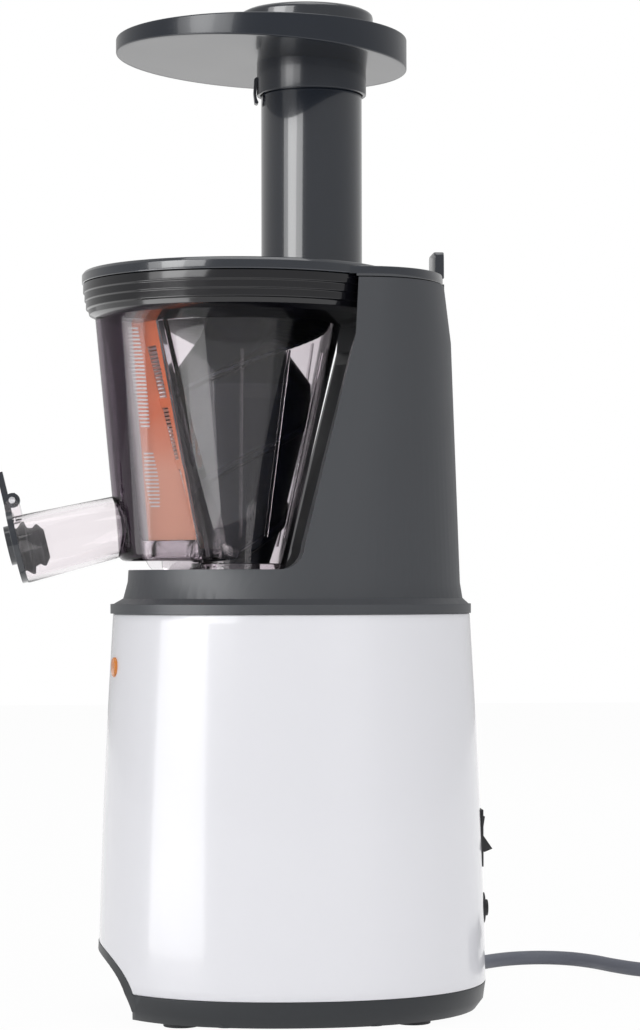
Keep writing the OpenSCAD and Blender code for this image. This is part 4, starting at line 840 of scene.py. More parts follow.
def arch_outline(grow):
    """The arch seen from the front: a flat-topped curve that ends square to the table."""
    t = np.linspace(0, np.pi, 65)
    c, s = np.cos(t), np.sin(t)
    x = (ARCH_HALF_W + grow) * np.sign(c) * np.abs(c) ** (2 / 2.6)
    z = (ARCH_TOP + grow) * s ** (2 / 2.6)
    return np.concatenate([[[ARCH_HALF_W + grow, -1 * MM]], np.column_stack([x, z]),
                           [[-ARCH_HALF_W - grow, -1 * MM]]])


class JUICER_OT_body(bpy.types.Operator):
    """Makes the white shell, the base moulding with its arch, the badge and the feet"""

    bl_idname = "juicer.body"
    bl_label = "Body and base"

    def execute(self, context):
        finish = finishes(context.scene.juicer_colours)
        edge = 0.6 * MM
        rows = [(BASE_TOP + 0.05 * MM, WALL), (BASE_TOP + 0.05 * MM, edge),
                (BASE_TOP + 0.2 * MM, 0.2 * MM), (BASE_TOP + edge, 0)]
        rows += [(z, 0) for z in np.linspace(BASE_TOP + 4 * MM, SHELL_TOP - 4 * MM, 40)]
        rows += [(SHELL_TOP - edge, 0), (SHELL_TOP - 0.2 * MM, 0.2 * MM), (SHELL_TOP, edge),
                 (SHELL_TOP, WALL)]
        shell = Form().grid(np.stack([body_ring(z, inset) for z, inset in rows]), wrap_rows=True)
        shell = shell.object("white_shell", 30)
        arch = prism(arch_outline(ARCH_BORDER), "Y", -0.1, ARCH_BACK + WALL).object("arch_cut")
        # the openings stop inside the bezels that cover their edges
        x0, z0 = (low("switch_housing", axis) + BEZEL_LAP for axis in "XZ")
        x1, z1 = (high("switch_housing", axis) - BEZEL_LAP for axis in "XZ")
        window = rounded([(x0, z0), (x1, z0), (x1, z1), (x0, z1)], 1 * MM)
        switch = prism(window, "Y", 0.08, 0.12).object("switch_cut")
        reset = turned([(0, 0.08), (5 * MM, 0.08), (5 * MM, 0.12), (0, 0.12)], (0, 0), 48)
        reset = reset[..., [0, 2, 1]] + [0, 0, middle("reset_button", "Z")]
        shell = carved(shell, arch, switch, Form().grid(reset).object("reset_cut"), crease=30)
        fit_out(shell, "power_unit", finish["shell"], "white_shell", "body_shell")

        base = copy_of("base_moulding", "base")
        fit_out(base, "power_unit", finish["base"], "base_plastic", "base_moulding",
                bevel=0.35 * MM)
        self.badge(finish["badge"])
        self.feet(finish["rubber"])
        return {"FINISHED"}

    def badge(self, material):
        """A shallow dome with a bevelled edge, square to the shell's front."""
        out = np.array([math.sin(math.radians(12)), -math.cos(math.radians(12)), 0])
        across = np.array([math.cos(math.radians(12)), math.sin(math.radians(12)), 0])
        r = (high("front_badge", "Z") - low("front_badge", "Z")) / 2
        s = np.linspace(0, 1, 9)
        dome = [(r * 0.86 * v, (0.95 - 0.25 * v**2) * MM) for v in s]
        rim = [(r * 0.9, 0.72 * MM), (r * 0.92, 0.5 * MM), (r, 0.42 * MM), (r, -1.2 * MM)]
        flat = turned(dome + rim + [(0, -1.2 * MM)], (0, 0), 96)
        centre = np.array([middle("front_badge", k) for k in "XYZ"]) + 0.35 * MM * out
        place = centre + flat[..., :1] * across + flat[..., 1:2] * [0, 0, 1] + flat[..., 2:] * out
        badge = Form().grid(place).object("round_badge", 30)
        fit_out(badge, "power_unit", material, "badge_orange", "front_badge")

    def feet(self, material):
        """Four turned feet, each with a rounded shoulder and a ring groove underneath."""
        form = Form()
        top, r = high("rubber_feet", "Z"), 7.5 * MM
        profile = rounded([(0, 0), (r * 0.4, 0), (r * 0.42, 0.5 * MM), (r * 0.6, 0.5 * MM),
                           (r * 0.62, 0), (r * 0.98, 0), (r, top), (0, top)], 0.35 * MM, 4)
        for x in (low("rubber_feet", "X") + r, high("rubber_feet", "X") - r):
            for y in (low("rubber_feet", "Y") + r, high("rubber_feet", "Y") - r):
                form.grid(turned(profile, (x, y), 64), wrap_rows=True)
        feet = form.object("feet", 40)
        fit_out(feet, "power_unit", material, "grey_rubber", "rubber_feet")


class JUICER_OT_housing(bpy.types.Operator):
    """Makes the upper housing with its tower, and the switches at the back"""

    bl_idname = "juicer.housing"
    bl_label = "Housing, tower and switches"

    def execute(self, context):
        finish = finishes(context.scene.juicer_colours)
        tower = copy_of("upper_housing", "tower", 32)
        fit_out(tower, "power_unit", finish["tower"], "tower_plastic", "upper_housing",
                bevel=0.5 * MM)
        for node, body, name in (("power_rocker", "rocker", "rocker_key"),
                                 ("reset_button", "reset", "reset_key")):
            key = copy_of(node, name)
            fit_out(key, body, finish["black"], "black_plastic", node, bevel=0.4 * MM)
        return {"FINISHED"}


# ------------------------------------------------------------------ bowl
BOWL_FLOOR = low("juice_bowl", "Z") + 2.5 * MM
RIM_TOP = high("juice_bowl", "Z")
CONE_H = 106 * MM
CONE_R_LOW = 18 * MM
CONE_R_TOP = 42.5 * MM
BOWL_WALL = 2 * MM
RIM_R = 66.5 * MM
RIM_LOW = RIM_TOP - 16 * MM
FILTER_HALF = 36.5
CHEEK_X = 12.5 * MM
# The combs: millimetres above the frame's foot, from bar to bar, and the line that they follow
COMB_ROWS = ((14, 37), (48, 91))
COMB_PITCH = 1.6
COMB_Y = -34 * MM
COMB_LEAN = 0.123
SPOUT_TURN = math.radians(13.5)
SPOUT_LENGTH = 49 * MM
SPOUT_ROOT = np.array([0, BOWL_Y - 45.5 * MM, BOWL_FLOOR + 20.3 * MM])
SPOUT_R = (12.9 * MM, 14.6 * MM)
AUGER_SIDES = 300
FLIGHT_TURNS = 1.25
# The auger's core: radius by height above the bowl's floor, in millimetres, between its ends
CORE = ((22, 19), (72, 31), (78, 31), (96, 16))
CORE_FOOT_R, CORE_NECK_R = 13, 12
CHAMBER_LOW = BOWL_FLOOR + 4 * MM
CHAMBER_TOP = BOWL_FLOOR + 110 * MM
FRONT_DEPTH = 16 * MM


def cone_r(z):
    """The cone's inner radius at height z."""
    return CONE_R_LOW + (CONE_R_TOP - CONE_R_LOW) * (z - BOWL_FLOOR) / CONE_H


def along_spout(across, up, out):
    """A point in the spout's own axes: across it, upwards square to it, and out along it."""
    c, s = math.cos(SPOUT_TURN), math.sin(SPOUT_TURN)
    across, up, out = np.broadcast_arrays(across, up, out)
    return np.stack([across, -s * up - c * out, c * up - s * out], -1) + SPOUT_ROOT


def spout_turned(profile, steps=128):
    """A profile of (radius, distance out) turned about the spout's axis."""
    p = np.asarray(profile, float)
    a = np.linspace(0, 2 * np.pi, steps, endpoint=False)
    return along_spout(p[:, :1] * np.cos(a), p[:, :1] * np.sin(a), p[:, 1:])


def chamber_front(z):
    """How far the chamber's front lies before the bowl's axis at z, which grows evenly."""
    return (51.5 + 10 * (z - CHAMBER_LOW) / (CHAMBER_TOP - CHAMBER_LOW)) * MM


def chamber_ring(z, inset, count=60):
    """The chamber's plan at z: straight sides out of the cone and a half-round front."""
    rise = (z - CHAMBER_LOW) / (CHAMBER_TOP - CHAMBER_LOW)
    foot = 3 * MM * (1 - math.sqrt(max(0.0, 1 - max(0.0, 1 - (z - CHAMBER_LOW) / (4 * MM)) ** 2)))
    half_w = (20 + 10 * rise) * MM - foot - inset
    front = chamber_front(z) - foot
    t = np.linspace(np.pi, 2 * np.pi, count)
    arc = np.column_stack([half_w * np.cos(t), half_w + inset - front + half_w * np.sin(t)])
    part = half_w / cone_r(z)
    back = -cone_r(z) * math.cos(math.asin(min(0.95, part))) if part < 1 else 0
    return np.concatenate([[[-half_w, back]], arc, [[half_w, back]]]) + [0, BOWL_Y]


class JUICER_OT_bowl(bpy.types.Operator):
    """Makes the smoky bowl with its ribs and chamber, the stepped rim, the spout and the chute"""

    bl_idname = "juicer.bowl"
    bl_label = "Bowl, rim and spout"

    def execute(self, context):
        finish = finishes(context.scene.juicer_colours)
        for piece, name in ((self.cone(), "smoke"), (self.chamber(), "chamber"),
                            (self.rim(), "rim"), (self.spout(), "spout")):
            fit_out(piece, "bowl", finish[name], "smoky_clear", "juice_bowl")
        return {"FINISHED"}

    def cone(self):
        """The cone's wall, left open where the filter sits, its floor, its ribs and the chute."""
        top = BOWL_FLOOR + CONE_H - 1 * MM
        wall = rounded([(CONE_R_LOW, BOWL_FLOOR), (cone_r(top), top),
                        (cone_r(top) + BOWL_WALL, top),
                        (CONE_R_LOW + BOWL_WALL, BOWL_FLOOR - 0.2 * MM)], 0.3 * MM, 3)
        start, end = FILTER_HALF - 90, 270 - FILTER_HALF
        form = Form().grid(turned(wall, (0, BOWL_Y), 150, (start, end)).transpose(1, 0, 2),
                           close=("first", "last"))
        floor = rounded([(9 * MM, BOWL_FLOOR - 2.5 * MM), (17.6 * MM, BOWL_FLOOR - 2.5 * MM),
                         (20 * MM, BOWL_FLOOR), (20.2 * MM, BOWL_FLOOR + 3 * MM),
                         (18.3 * MM, BOWL_FLOOR + 3 * MM), (18 * MM, BOWL_FLOOR),
                         (9 * MM, BOWL_FLOOR)], 0.4 * MM, 4)
        form.grid(turned(floor, (0, BOWL_Y), 128), wrap_rows=True)
        low_z, high_z = BOWL_FLOOR + 14 * MM, BOWL_FLOOR + 92 * MM
        for turn in np.radians(np.arange(0, 181, 30)):
            out = np.array([math.cos(turn), math.sin(turn), 0])
            side = np.array([-out[1], out[0], 0])
            rows = []
            for z in np.linspace(low_z, high_z, 12):
                half, r = 0.8 * MM, cone_r(z)
                rows.append([out * (r - d) + side * s + [0, BOWL_Y, z] for d, s in (
                    (-0.4 * MM, -half), (0.35 * MM, -half), (0.6 * MM, -half * 0.5),
                    (0.6 * MM, half * 0.5), (0.35 * MM, half), (-0.4 * MM, half))])
            form.grid(np.array(rows), close=("first", "last"))
        self.chute(form)
        return form.object("bowl_cone", 35)

    def chute(self, form):
        """The pulp outlet: a tube out of the cone's foot whose end is cut open underneath."""
        turn = math.radians(210)
        out = np.array([math.cos(turn), math.sin(turn), 0])
        side = np.array([-out[1], out[0], 0])
        centre = np.array([0, BOWL_Y, BOWL_FLOOR + 8 * MM])

        def arc(turns, r, x):
            """Points of the circle of radius r about the chute's axis, x millimetres out."""
            a = turns[:, None]
            return centre + x * MM * out + r * MM * (np.cos(a) * side + np.sin(a) * [0, 0, 1])

        full = np.linspace(0, 2 * np.pi, 64, endpoint=False)
        wall = [(7.5, 19), (9.5, 19), (9.5, 63), (9.2, 63.6), (7.8, 63.6), (7.5, 63)]
        form.grid(np.stack([arc(full, r, x) for r, x in wall]), wrap_rows=True)
        half = np.linspace(0, np.pi, 33)
        hood = [np.concatenate([arc(half, 9.5, x), arc(half, 7.5, x)[::-1]])
                for x in (63, 77.4, 78)]
        form.grid(np.stack(hood), close=("first", "last"))

    def chamber(self):
        """The juice chamber's wall, from its rounded foot to the rim, and its floor."""
        foot = CHAMBER_LOW + 4 * MM * (1 - np.cos(np.linspace(0, np.pi / 2, 7)))
        heights = np.append(foot, np.linspace(CHAMBER_LOW + 8 * MM, RIM_LOW + 1.5 * MM, 24))
        rows = [np.concatenate([chamber_ring(z, 0), chamber_ring(z, BOWL_WALL)[::-1]])
                for z in heights]
        rings = np.stack([np.column_stack([row, np.full(len(row), z)])
                          for row, z in zip(rows, heights)])
        form = Form().grid(rings, close=("first", "last"))
        plan = chamber_ring(CHAMBER_LOW, 0.01 * MM)
        floor = np.stack([np.column_stack([plan, np.full(len(plan), CHAMBER_LOW + lift)])
                          for lift in (0, BOWL_WALL)])
        form.grid(floor, close=("first", "last"))
        chamber = form.object("juice_chamber", 35)
        # how far each point lies behind the chamber's front, as a part of FRONT_DEPTH; the finish
        # paints shade where it is low
        at = np.empty(len(chamber.data.vertices) * 3, np.float32)
        chamber.data.vertices.foreach_get("co", at)
        at = at.reshape(-1, 3)
        behind = at[:, 1] - BOWL_Y + chamber_front(at[:, 2])
        attribute = chamber.data.attributes.new("front", "FLOAT", "POINT")
        attribute.data.foreach_set("value", (behind / FRONT_DEPTH).astype(np.float32))
        return chamber

    def rim(self):
        """The rim's wall, with three stepped ribs outside and a ledge for the lid inside."""
        r, z = RIM_R / MM, RIM_LOW / MM
        top = RIM_TOP / MM
        outer = CONE_R_TOP / MM + 2
        corners = [(outer - 1, z - 1.5), (outer + 1, z - 1.5), (r - 7, z + 1), (r - 2.6, z + 2.8),
                   (r - 2.2, z + 4.8), (r - 1.2, z + 5.2), (r - 1.2, z + 8.3), (r - 0.6, z + 8.7),
                   (r - 0.6, z + 11.8), (r, z + 12.2), (r, top), (r - 2.5, top),
                   (r - 2.5, top - 3.2), (r - 5.4, top - 3.4), (r - 5.4, z + 4.6),
                   (outer - 2, z + 1)]
        profile = rounded(np.array(corners) * MM, 0.45 * MM, 4)
        rim = Form().grid(turned(profile, (0, BOWL_Y), 288), wrap_rows=True)
        return rim.object("bowl_rim", 35)

    def spout(self):
        """The spout: a clear tube that widens to its mouth, a collar at its root and two ears."""
        r0, r1, length = *SPOUT_R, SPOUT_LENGTH
        wall = rounded([(r0, 2 * MM), (r1, length), (r1 - BOWL_WALL, length),
                        (r0 - BOWL_WALL, 2 * MM)], 0.5 * MM, 4)
        form = Form().grid(spout_turned(wall), wrap_rows=True)
        ear, drop, half = 3.2 * MM, r1 + 3.9 * MM, 7 * MM
        t = np.linspace(0, np.pi, 17)
        outline = [(r1 - 1 * MM, ear)] + [(drop + ear * math.sin(v), ear * math.cos(v)) for v in t]
        outline += [(r1 - 1 * MM, -ear)]
        for side in (-1, 1):
            rows = [[along_spout(side * x, u, length - 1 * MM + v) for u, v in outline]
                    for x in (3.3 * MM, 3.6 * MM, half - 0.3 * MM, half)]
            form.grid(np.array(rows), close=("first", "last"))
        return form.object("juice_spout", 35)


class JUICER_OT_filter(bpy.types.Operator):
    """Makes the filter's frame and its slotted steel screens"""

    bl_idname = "juicer.filter"
    bl_label = "Filter cassette"

    def execute(self, context):
        finish = finishes(context.scene.juicer_colours)
        cassette = copy_of("filter_frame", "cassette")
        fit_out(cassette, "bowl", finish["cassette"], "orange_plastic", "filter_frame",
                bevel=0.3 * MM)
        screens = copy_of("filter_mesh", "screens")
        fit_out(screens, "bowl", finish["mesh"], "filter_steel", "filter_mesh")
        fit_out(self.comb(), "bowl", finish["mesh"], "filter_steel")
        return {"FINISHED"}

    def comb(self):
        """Two rows of thin steel bars let into the outside of each cheek, along its slope."""
        form = Form()
        foot = low("filter_frame", "Z")
        for side in (-1, 1):
            for start, end in COMB_ROWS:
                for z in np.arange(start, end, COMB_PITCH):
                    lean = COMB_Y - COMB_LEAN * z * MM
                    half = (1.9 + 0.9 * math.sin(math.pi * (z - start) / (end - start))) * MM
                    y0, y1 = BOWL_Y + lean - half, BOWL_Y + lean + half
                    x0, x1 = side * (CHEEK_X - 0.3 * MM), side * (CHEEK_X + 0.15 * MM)
                    b, t = foot + z * MM, foot + (z + 0.7) * MM
                    bar = [[(x, y0, b), (x, y1, b), (x, y1, t), (x, y0, t)] for x in (x0, x1)]
                    form.grid(np.array(bar), close=("first", "last"))
        return form.object("cheek_combs", 30)


class JUICER_OT_auger(bpy.types.Operator):
    """Makes the auger: a core with two flights that wind down it and fade into its foot"""

    bl_idname = "juicer.auger"
    bl_label = "Auger"

    def execute(self, context):
        finish = finishes(context.scene.juicer_colours)
        foot, top = low("auger", "Z"), high("auger", "Z") - 6 * MM
        flight_low = BOWL_FLOOR + 6 * MM
        z = np.linspace(foot, top, 300)[:, None]
        a = np.linspace(0, 2 * np.pi, AUGER_SIDES, endpoint=False)[None, :]
        heights = [foot] + [BOWL_FLOOR + h * MM for h, _ in CORE] + [top]
        radii = [CORE_FOOT_R] + [r for _, r in CORE] + [CORE_NECK_R]
        core = np.interp(z, heights, radii) * MM
        reach = cone_r(z) - 1.6 * MM
        # off is how far a point lies from the nearer flight, along the circle through it
        phase = a - 2 * np.pi * FLIGHT_TURNS * (z - flight_low) / (top - flight_low)
        off = np.abs((phase + np.pi / 2) % np.pi - np.pi / 2) * reach * 0.86
        lift = np.clip(1.25 - (off / (2.1 * MM)) ** 2 * 0.25, 0, 1) * (off < 4.4 * MM)
        root = np.exp(-(off / (4.2 * MM)) ** 2) * 0.18
        fade = np.clip((z - flight_low) / (3 * MM), 0, 1)
        steep = np.clip((3.4 * MM - off) / (1.3 * MM), 0, 1)
        blade = np.maximum(steep * steep * (3 - 2 * steep), root) * fade
        r = core + (np.maximum(reach, core) - core) * np.clip(blade * (0.9 + 0.1 * lift), 0, 1)
        points = np.stack([r * np.cos(a), BOWL_Y + r * np.sin(a), np.broadcast_to(z, r.shape)], -1)
        form = Form().grid(points)
        rings = [(0, top), (10 * MM, top), (11.8 * MM, top - 0.1 * MM)]
        form.grid(turned(rings, (0, BOWL_Y), AUGER_SIDES))
        form.grid(turned([(13 * MM, foot), (7.4 * MM, foot), (7.4 * MM, foot + 20 * MM)],
                         (0, BOWL_Y), AUGER_SIDES))
        peg = rounded([(0, top - 1 * MM), (5 * MM, top - 1 * MM), (5 * MM, top + 6 * MM),
                       (0, top + 6 * MM)], [0, 0, 0.8 * MM, 0], 5)
        form.grid(turned(peg, (0, BOWL_Y), 64), wrap_rows=True)
        auger = form.object("auger_screw", 50)
        fit_out(auger, "auger", finish["auger"], "auger_plastic", "auger")
        return {"FINISHED"}


class JUICER_OT_spout_cap(bpy.types.Operator):
    """Makes the spout's cap with its lever and grip, and the ringed stopper behind it"""

    bl_idname = "juicer.spout_cap"
    bl_label = "Spout cap"

    def execute(self, context):
        finish = finishes(context.scene.juicer_colours)
        cap = copy_of("juice_cap", "cap", 30)
        fit_out(cap, "spout_cap", finish["slate"], "slate_plastic", "juice_cap", bevel=0.8 * MM)
        r, base = 11.5, SPOUT_LENGTH + 0.3 * MM
        profile = [(0, -0.3), (r - 2.2, -0.3), (r - 2.2, 2), (r, 4.2), (r, 5), (r - 3, 6),
                   (r - 3.6, 8), (r - 2.4, 9.4), (r - 2.4, 10.2), (r - 5.4, 12.4), (0, 12.4)]
        profile = rounded([(p * MM, base - q * MM) for p, q in profile], 0.35 * MM, 4)
        stopper = Form().grid(spout_turned(profile), wrap_rows=True).object("ringed_stopper", 35)
        fit_out(stopper, "spout_cap", finish["rubber"], "grey_rubber", "juice_stopper")
        return {"FINISHED"}


# ------------------------------------------------------------------ lid, tray and pusher
LID_R = 67 * MM
TUBE_R = 21.7 * MM
TUBE_WALL = 2 * MM
TOWER_HALF = (50.5 * MM, 38.5 * MM)
EXTENSION_TOP = LID_TOP - 1.8 * MM
POCKET_R = 69 * MM
TRAY_R = (high("food_tray", "X") - low("food_tray", "X")) / 2
TRAY_Y = middle("food_tray", "Y")
TRAY_SLOPE = math.tan(math.radians(3.2))
TRAY_RIM = 6.4 * MM
COLLAR_DROP = 14.4 * MM


def quarter(steps):
    """Pairs (1 - sin v, 1 - cos v) over a quarter turn of v, for a profile's round edges."""
    return [(1 - math.sin(v), 1 - math.cos(v)) for v in np.linspace(0, np.pi / 2, steps)]


def cylinder(centre, radius, start, end):
    """A plain upright cylinder that cuts a bore."""
    profile = [(0, start), (radius, start), (radius, end), (0, end)]
    return Form().grid(turned(profile, centre, 144)).object("bore_cut")


def drawn_in(outline, centre, inset):
    """The outline with every point moved towards centre by inset."""
    way = outline - centre
    return outline - inset * way / np.linalg.norm(way, axis=1)[:, None]


class JUICER_OT_lid(bpy.types.Operator):
    """Makes the lid, its extension over the tower with the tab, and the feed tube"""

    bl_idname = "juicer.lid"
    bl_label = "Lid and feed tube"

    def execute(self, context):
        slate = finishes(context.scene.juicer_colours)["slate"]
        b, t, r = LID_BOTTOM / MM, LID_TOP / MM, LID_R / MM
        corners = [(0, b), (r - 5.5, b), (r - 5.5, b - 3), (r - 3.3, b - 3), (r - 3.3, b), (r, b),
                   (r, t - 1.4), (r - 1.1, t), (0, t)]
        radii = np.array([0, 0.2, 0.3, 0.3, 0.2, 0.5, 0.7, 0.8, 0])
        profile = rounded(np.array(corners) * MM, radii * MM, 5)
        cover = Form().grid(turned(profile, (0, BOWL_Y), 288), wrap_rows=True)
        bore = cylinder((0, TUBE_Y), TUBE_R - TUBE_WALL, LID_BOTTOM - 0.01, LID_TOP + 0.01)
        cover = carved(cover.object("lid_cover", 35), bore)
        for piece in (cover, self.tube(), self.extension(), self.tab()):
            fit_out(piece, "lid", slate, "slate_plastic", "juicer_lid")
        return {"FINISHED"}

    def tube(self):
        """The tube: a wall with a fillet of two millimetres where it leaves the lid."""
        r, top = TUBE_R, TUBE_TOP
        fillet = [(r + 2 * MM * p, LID_TOP + 2 * MM * q - 0.05 * MM) for p, q in quarter(7)]
        profile = [(r - TUBE_WALL, LID_BOTTOM), (r + 1.9 * MM, LID_BOTTOM + 0.2 * MM)] + fillet
        profile += [(r, top - 0.6 * MM), (r - 0.2 * MM, top - 0.15 * MM), (r - 0.6 * MM, top),
                    (r - TUBE_WALL + 0.4 * MM, top), (r - TUBE_WALL, top - 0.4 * MM)]
        tube = Form().grid(turned(profile, (0, TUBE_Y), 224), wrap_rows=True)
        return tube.object("feed_tube", 35)

    def extension(self):
        """The lid's flat extension over the tower, clear of the bowl's rim underneath."""
        axis = [0, LID_BACK - TOWER_HALF[1]]
        plan = oval(*TOWER_HALF, 400) + axis
        plan = plan[plan[:, 1] > BOWL_Y + 40 * MM]
        plan = plan[np.argsort(np.arctan2(plan[:, 1] - BOWL_Y, plan[:, 0]))]
        base, top = TOWER_TOP + 0.4 * MM, EXTENSION_TOP
        rows = []
        for z, inset in ((base, 0.35 * MM), (base + 0.1 * MM, 0.1 * MM), (base + 0.35 * MM, 0),
                         (top - 0.7 * MM, 0), (top - 0.2 * MM, 0.2 * MM), (top, 0.7 * MM)):
            rows.append(np.column_stack([drawn_in(plan, axis, inset), np.full(len(plan), z)]))
        piece = Form().grid(np.stack(rows), close=("first", "last")).object("lid_extension", 35)
        return carved(piece, cylinder((0, BOWL_Y), POCKET_R, base - 0.01, LID_BOTTOM))

    def tab(self):
        """The upright tab at the extension's back, with rounded corners, and its tongue."""
        half, back = 11 * MM, LID_BACK
        top = LID_TOP + 8.9 * MM
        outline = rounded([(-half, EXTENSION_TOP - 1 * MM), (half, EXTENSION_TOP - 1 * MM),
                           (half, top), (-half, top)], [0, 0, 3 * MM, 3 * MM], 8)
        form = Form()
        middle = outline.mean(axis=0)
        edge = ((4.2, 0.6), (4.0, 0.15), (3.6, 0), (0.6, 0), (0.2, 0.15), (0, 0.6))
        rows = [np.insert(drawn_in(outline, middle, inset * MM), 1, back - y * MM, axis=1)
                for y, inset in edge]
        form.grid(np.stack(rows), close=("first", "last"))
        tongue = rounded([(-half, TOWER_TOP - 11 * MM), (half, TOWER_TOP - 11 * MM),
                          (half, TOWER_TOP + 1.4 * MM), (-half, TOWER_TOP + 1.4 * MM)], 1 * MM, 5)
        form.grid(np.stack([np.insert(tongue, 1, y, axis=1) for y in (back - 2.2 * MM, back)]),
                  close=("first", "last"))
        return form.object("lid_tab", 35)


class JUICER_OT_tray(bpy.types.Operator):
    """Makes the round food tray, whose floor slopes down to the tube, with its collar and clip"""

    bl_idname = "juicer.tray"
    bl_label = "Food tray"

    def execute(self, context):
        tray = finishes(context.scene.juicer_colours)["tray"]
        a = np.linspace(0, 2 * np.pi, 320, endpoint=False)
        # rows of radius and height in millimetres, above the sloping floor or the level rim
        r, wall = TRAY_R / MM, 2
        rows = [(r * part, "floor", 0) for part in (0, 0.5, 0.95)]
        rows += [(r - 0.6 * p, "floor", 0.6 * q) for p, q in quarter(5)]
        rows += [(r - 0.7 * q, "rim", -0.7 * p) for p, q in quarter(5)]
        rows += [(r - wall + 0.6 * p, "rim", -0.6 * q) for p, q in quarter(5)]
        rows += [(r - wall - 1.5 * q, "floor", wall + 1.5 * p) for p, q in quarter(5)]
        rows += [(r * part, "floor", wall) for part in (0.5, 0)]
        grid = []
        for radius, kind, lift in rows:
            y = TRAY_Y + radius * MM * np.sin(a)
            level = self.floor(y) if kind == "floor" else np.full(len(a), TRAY_TOP)
            grid.append(np.stack([radius * MM * np.cos(a), y, level + lift * MM], -1))
        dish = Form().grid(np.stack(grid)).object("dish", 35)
        dish = carved(dish, cylinder((0, TUBE_Y), TUBE_R - TUBE_WALL, TUBE_TOP - 0.02, TRAY_TOP))
        for piece in (dish, self.collar(), self.clip()):
            fit_out(piece, "tray", tray, "slate_plastic", "food_tray")
        return {"FINISHED"}

    @staticmethod
    def floor(y):
        """The height of the floor's underside: it falls evenly towards the back."""
        return TRAY_TOP - TRAY_RIM - (y - TRAY_Y + TRAY_R) * TRAY_SLOPE

    def collar(self):
        """The ring round the feed tube: its top follows the slope of the floor."""
        a = np.linspace(0, 2 * np.pi, 200, endpoint=False)
        low_z = TUBE_TOP - COLLAR_DROP
        r0, r1 = TUBE_R + 0.3 * MM, TUBE_R + 1.9 * MM
        rows = []
        for r, z in ((r0, low_z + 0.4 * MM), (r0 + 0.3 * MM, low_z), (r1 - 0.5 * MM, low_z),
                     (r1 - 0.1 * MM, low_z + 0.2 * MM), (r1, low_z + 0.6 * MM), (r1, None),
                     (r0, None)):
            y = TUBE_Y + r * np.sin(a)
            height = self.floor(y) + 1 * MM if z is None else np.full(len(a), z)
            rows.append(np.stack([r * np.cos(a), y, height], -1))
        return Form().grid(np.stack(rows), wrap_rows=True).object("tray_collar", 35)

    def clip(self):
        """The small hook at the collar's front that snaps over the tube's bead."""
        front, z = TUBE_Y - TUBE_R - 1.7 * MM, TUBE_TOP - COLLAR_DROP
        hook = [(0, 8), (-1.4, 7), (-1.7, 1), (-1.2, -3.4), (-0.2, -4), (0.5, -3.2), (-0.2, -1.8),
                (-0.5, 0.2)]
        outline = rounded(np.array(hook) * MM + [front, z], 0.5 * MM, 4)
        return prism(outline, "X", -2.5 * MM, 2.5 * MM).object("tray_clip", 35)


class JUICER_OT_pusher(bpy.types.Operator):
    """Makes the pusher's shallow domed cap and its hollow stem with four ribs"""

    bl_idname = "juicer.pusher"
    bl_label = "Pusher"

    def execute(self, context):
        finish = finishes(context.scene.juicer_colours)
        r = (high("pusher_cap", "X") - low("pusher_cap", "X")) / 2
        top = high("pusher_cap", "Z")
        under = top - 16 * MM
        dome = [(r * 0.93 * (1 - p), top - 1.4 * MM * q) for p, q in quarter(12)]
        side = [(r - 0.9 * MM, top - 1.9 * MM), (r - 0.25 * MM, top - 2.6 * MM),
                (r, top - 3.6 * MM), (r, under + 3 * MM), (r - 0.4 * MM, under + 1.8 * MM),
                (r - 1.6 * MM, under + 0.8 * MM), (r - 6 * MM, under), (0, under)]
        cap = Form().grid(turned(dome + side, (0, middle("pusher_cap", "Y")), 224))
        shoulder = low("pusher_cap", "Z")
        cap.grid(turned([(18.8 * MM, under + 0.5 * MM), (24 * MM, under + 0.5 * MM),
                         (24 * MM, shoulder + 0.5 * MM), (23.5 * MM, shoulder),
                         (18.8 * MM, shoulder)], (0, TUBE_Y), 160), wrap_rows=True)
        fit_out(cap.object("pusher_top", 35), "pusher", finish["slate"], "slate_plastic",
                "pusher_cap")
        stem = copy_of("pusher_stem", "pusher_tube")
        fit_out(stem, "pusher", finish["pusher"], "pusher_plastic", "pusher_stem")
        return {"FINISHED"}


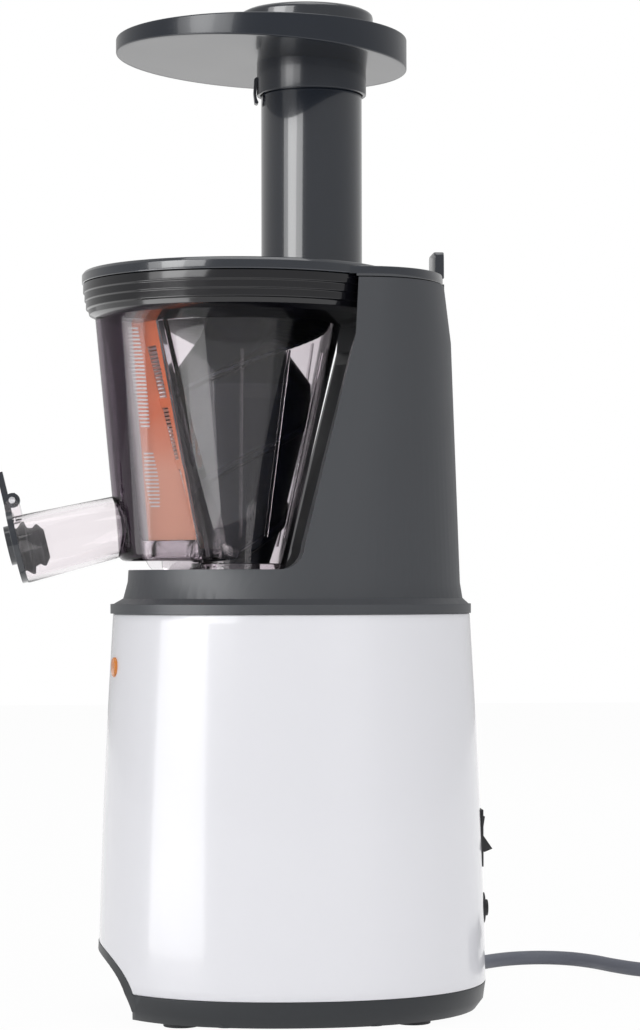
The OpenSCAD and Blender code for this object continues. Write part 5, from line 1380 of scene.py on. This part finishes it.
class JUICER_OT_drive(bpy.types.Operator):
    """Finishes the motor, the gearbox and the electrics inside the body"""

    bl_idname = "juicer.drive"
    bl_label = "Motor and gearbox"

    groups = {
        "iron": ["motor_stator", "motor_rotor"],
        "copper": ["motor_windings"],
        "casting": ["motor_brackets", "gearbox_case", "gearbox_cover", "lid_magnet"],
        "steel": ["base_screws", "motor_shaft", "motor_pinion", "gearbox_screws",
                  "intermediate_pin", "drive_shaft", "reset_spring", "auger_socket",
                  "cap_hinge_pin"],
        "bronze": ["motor_bearings", "shaft_bush"],
        "gear": ["intermediate_gear", "output_gear"],
        "black": ["cooling_fan", "switch_housing", "reset_housing"],
        "board": ["control_board", "lid_sensor"],
        "rubber": ["shaft_seal", "lid_gasket"],
        "seal": ["bowl_seal"],
    }

    def execute(self, context):
        finish = finishes(context.scene.juicer_colours)
        for name, nodes in self.groups.items():
            for node in nodes:
                paint(node, finish[name])
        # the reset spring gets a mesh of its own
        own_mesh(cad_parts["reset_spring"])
        return {"FINISHED"}


# ------------------------------------------------------------------ add-on
class JUICER_PT_panel(bpy.types.Panel):
    """Lists the pieces that can be built"""

    bl_idname = "JUICER_PT_panel"
    bl_label = "Juicer"
    bl_space_type = "VIEW_3D"
    bl_region_type = "UI"
    bl_category = "Juicer"

    def draw(self, context):
        for operator in OPERATORS:
            self.layout.operator(operator.bl_idname)
        for group in (context.scene.juicer_colours, context.scene.juicer_view):
            for name in type(group).__annotations__:
                self.layout.prop(group, name)


OPERATORS = (JUICER_OT_stage, JUICER_OT_body, JUICER_OT_housing, JUICER_OT_bowl,
             JUICER_OT_filter, JUICER_OT_auger, JUICER_OT_spout_cap, JUICER_OT_lid,
             JUICER_OT_tray, JUICER_OT_pusher, JUICER_OT_cord, JUICER_OT_drive)
GROUPS = (JuicerColours, JuicerView)


def register():
    for group in GROUPS + OPERATORS + (JUICER_PT_panel,):
        bpy.utils.register_class(group)
    bpy.types.Scene.juicer_colours = PointerProperty(type=JuicerColours)
    bpy.types.Scene.juicer_view = PointerProperty(type=JuicerView)


def unregister():
    del bpy.types.Scene.juicer_view
    del bpy.types.Scene.juicer_colours
    for group in reversed(GROUPS + OPERATORS + (JUICER_PT_panel,)):
        bpy.utils.unregister_class(group)


def main():
    """Registers the add-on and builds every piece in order."""
    register()
    for operator in OPERATORS:
        group, name = operator.bl_idname.split(".")
        getattr(getattr(bpy.ops, group), name)()


if __name__ == "__main__":
    main()
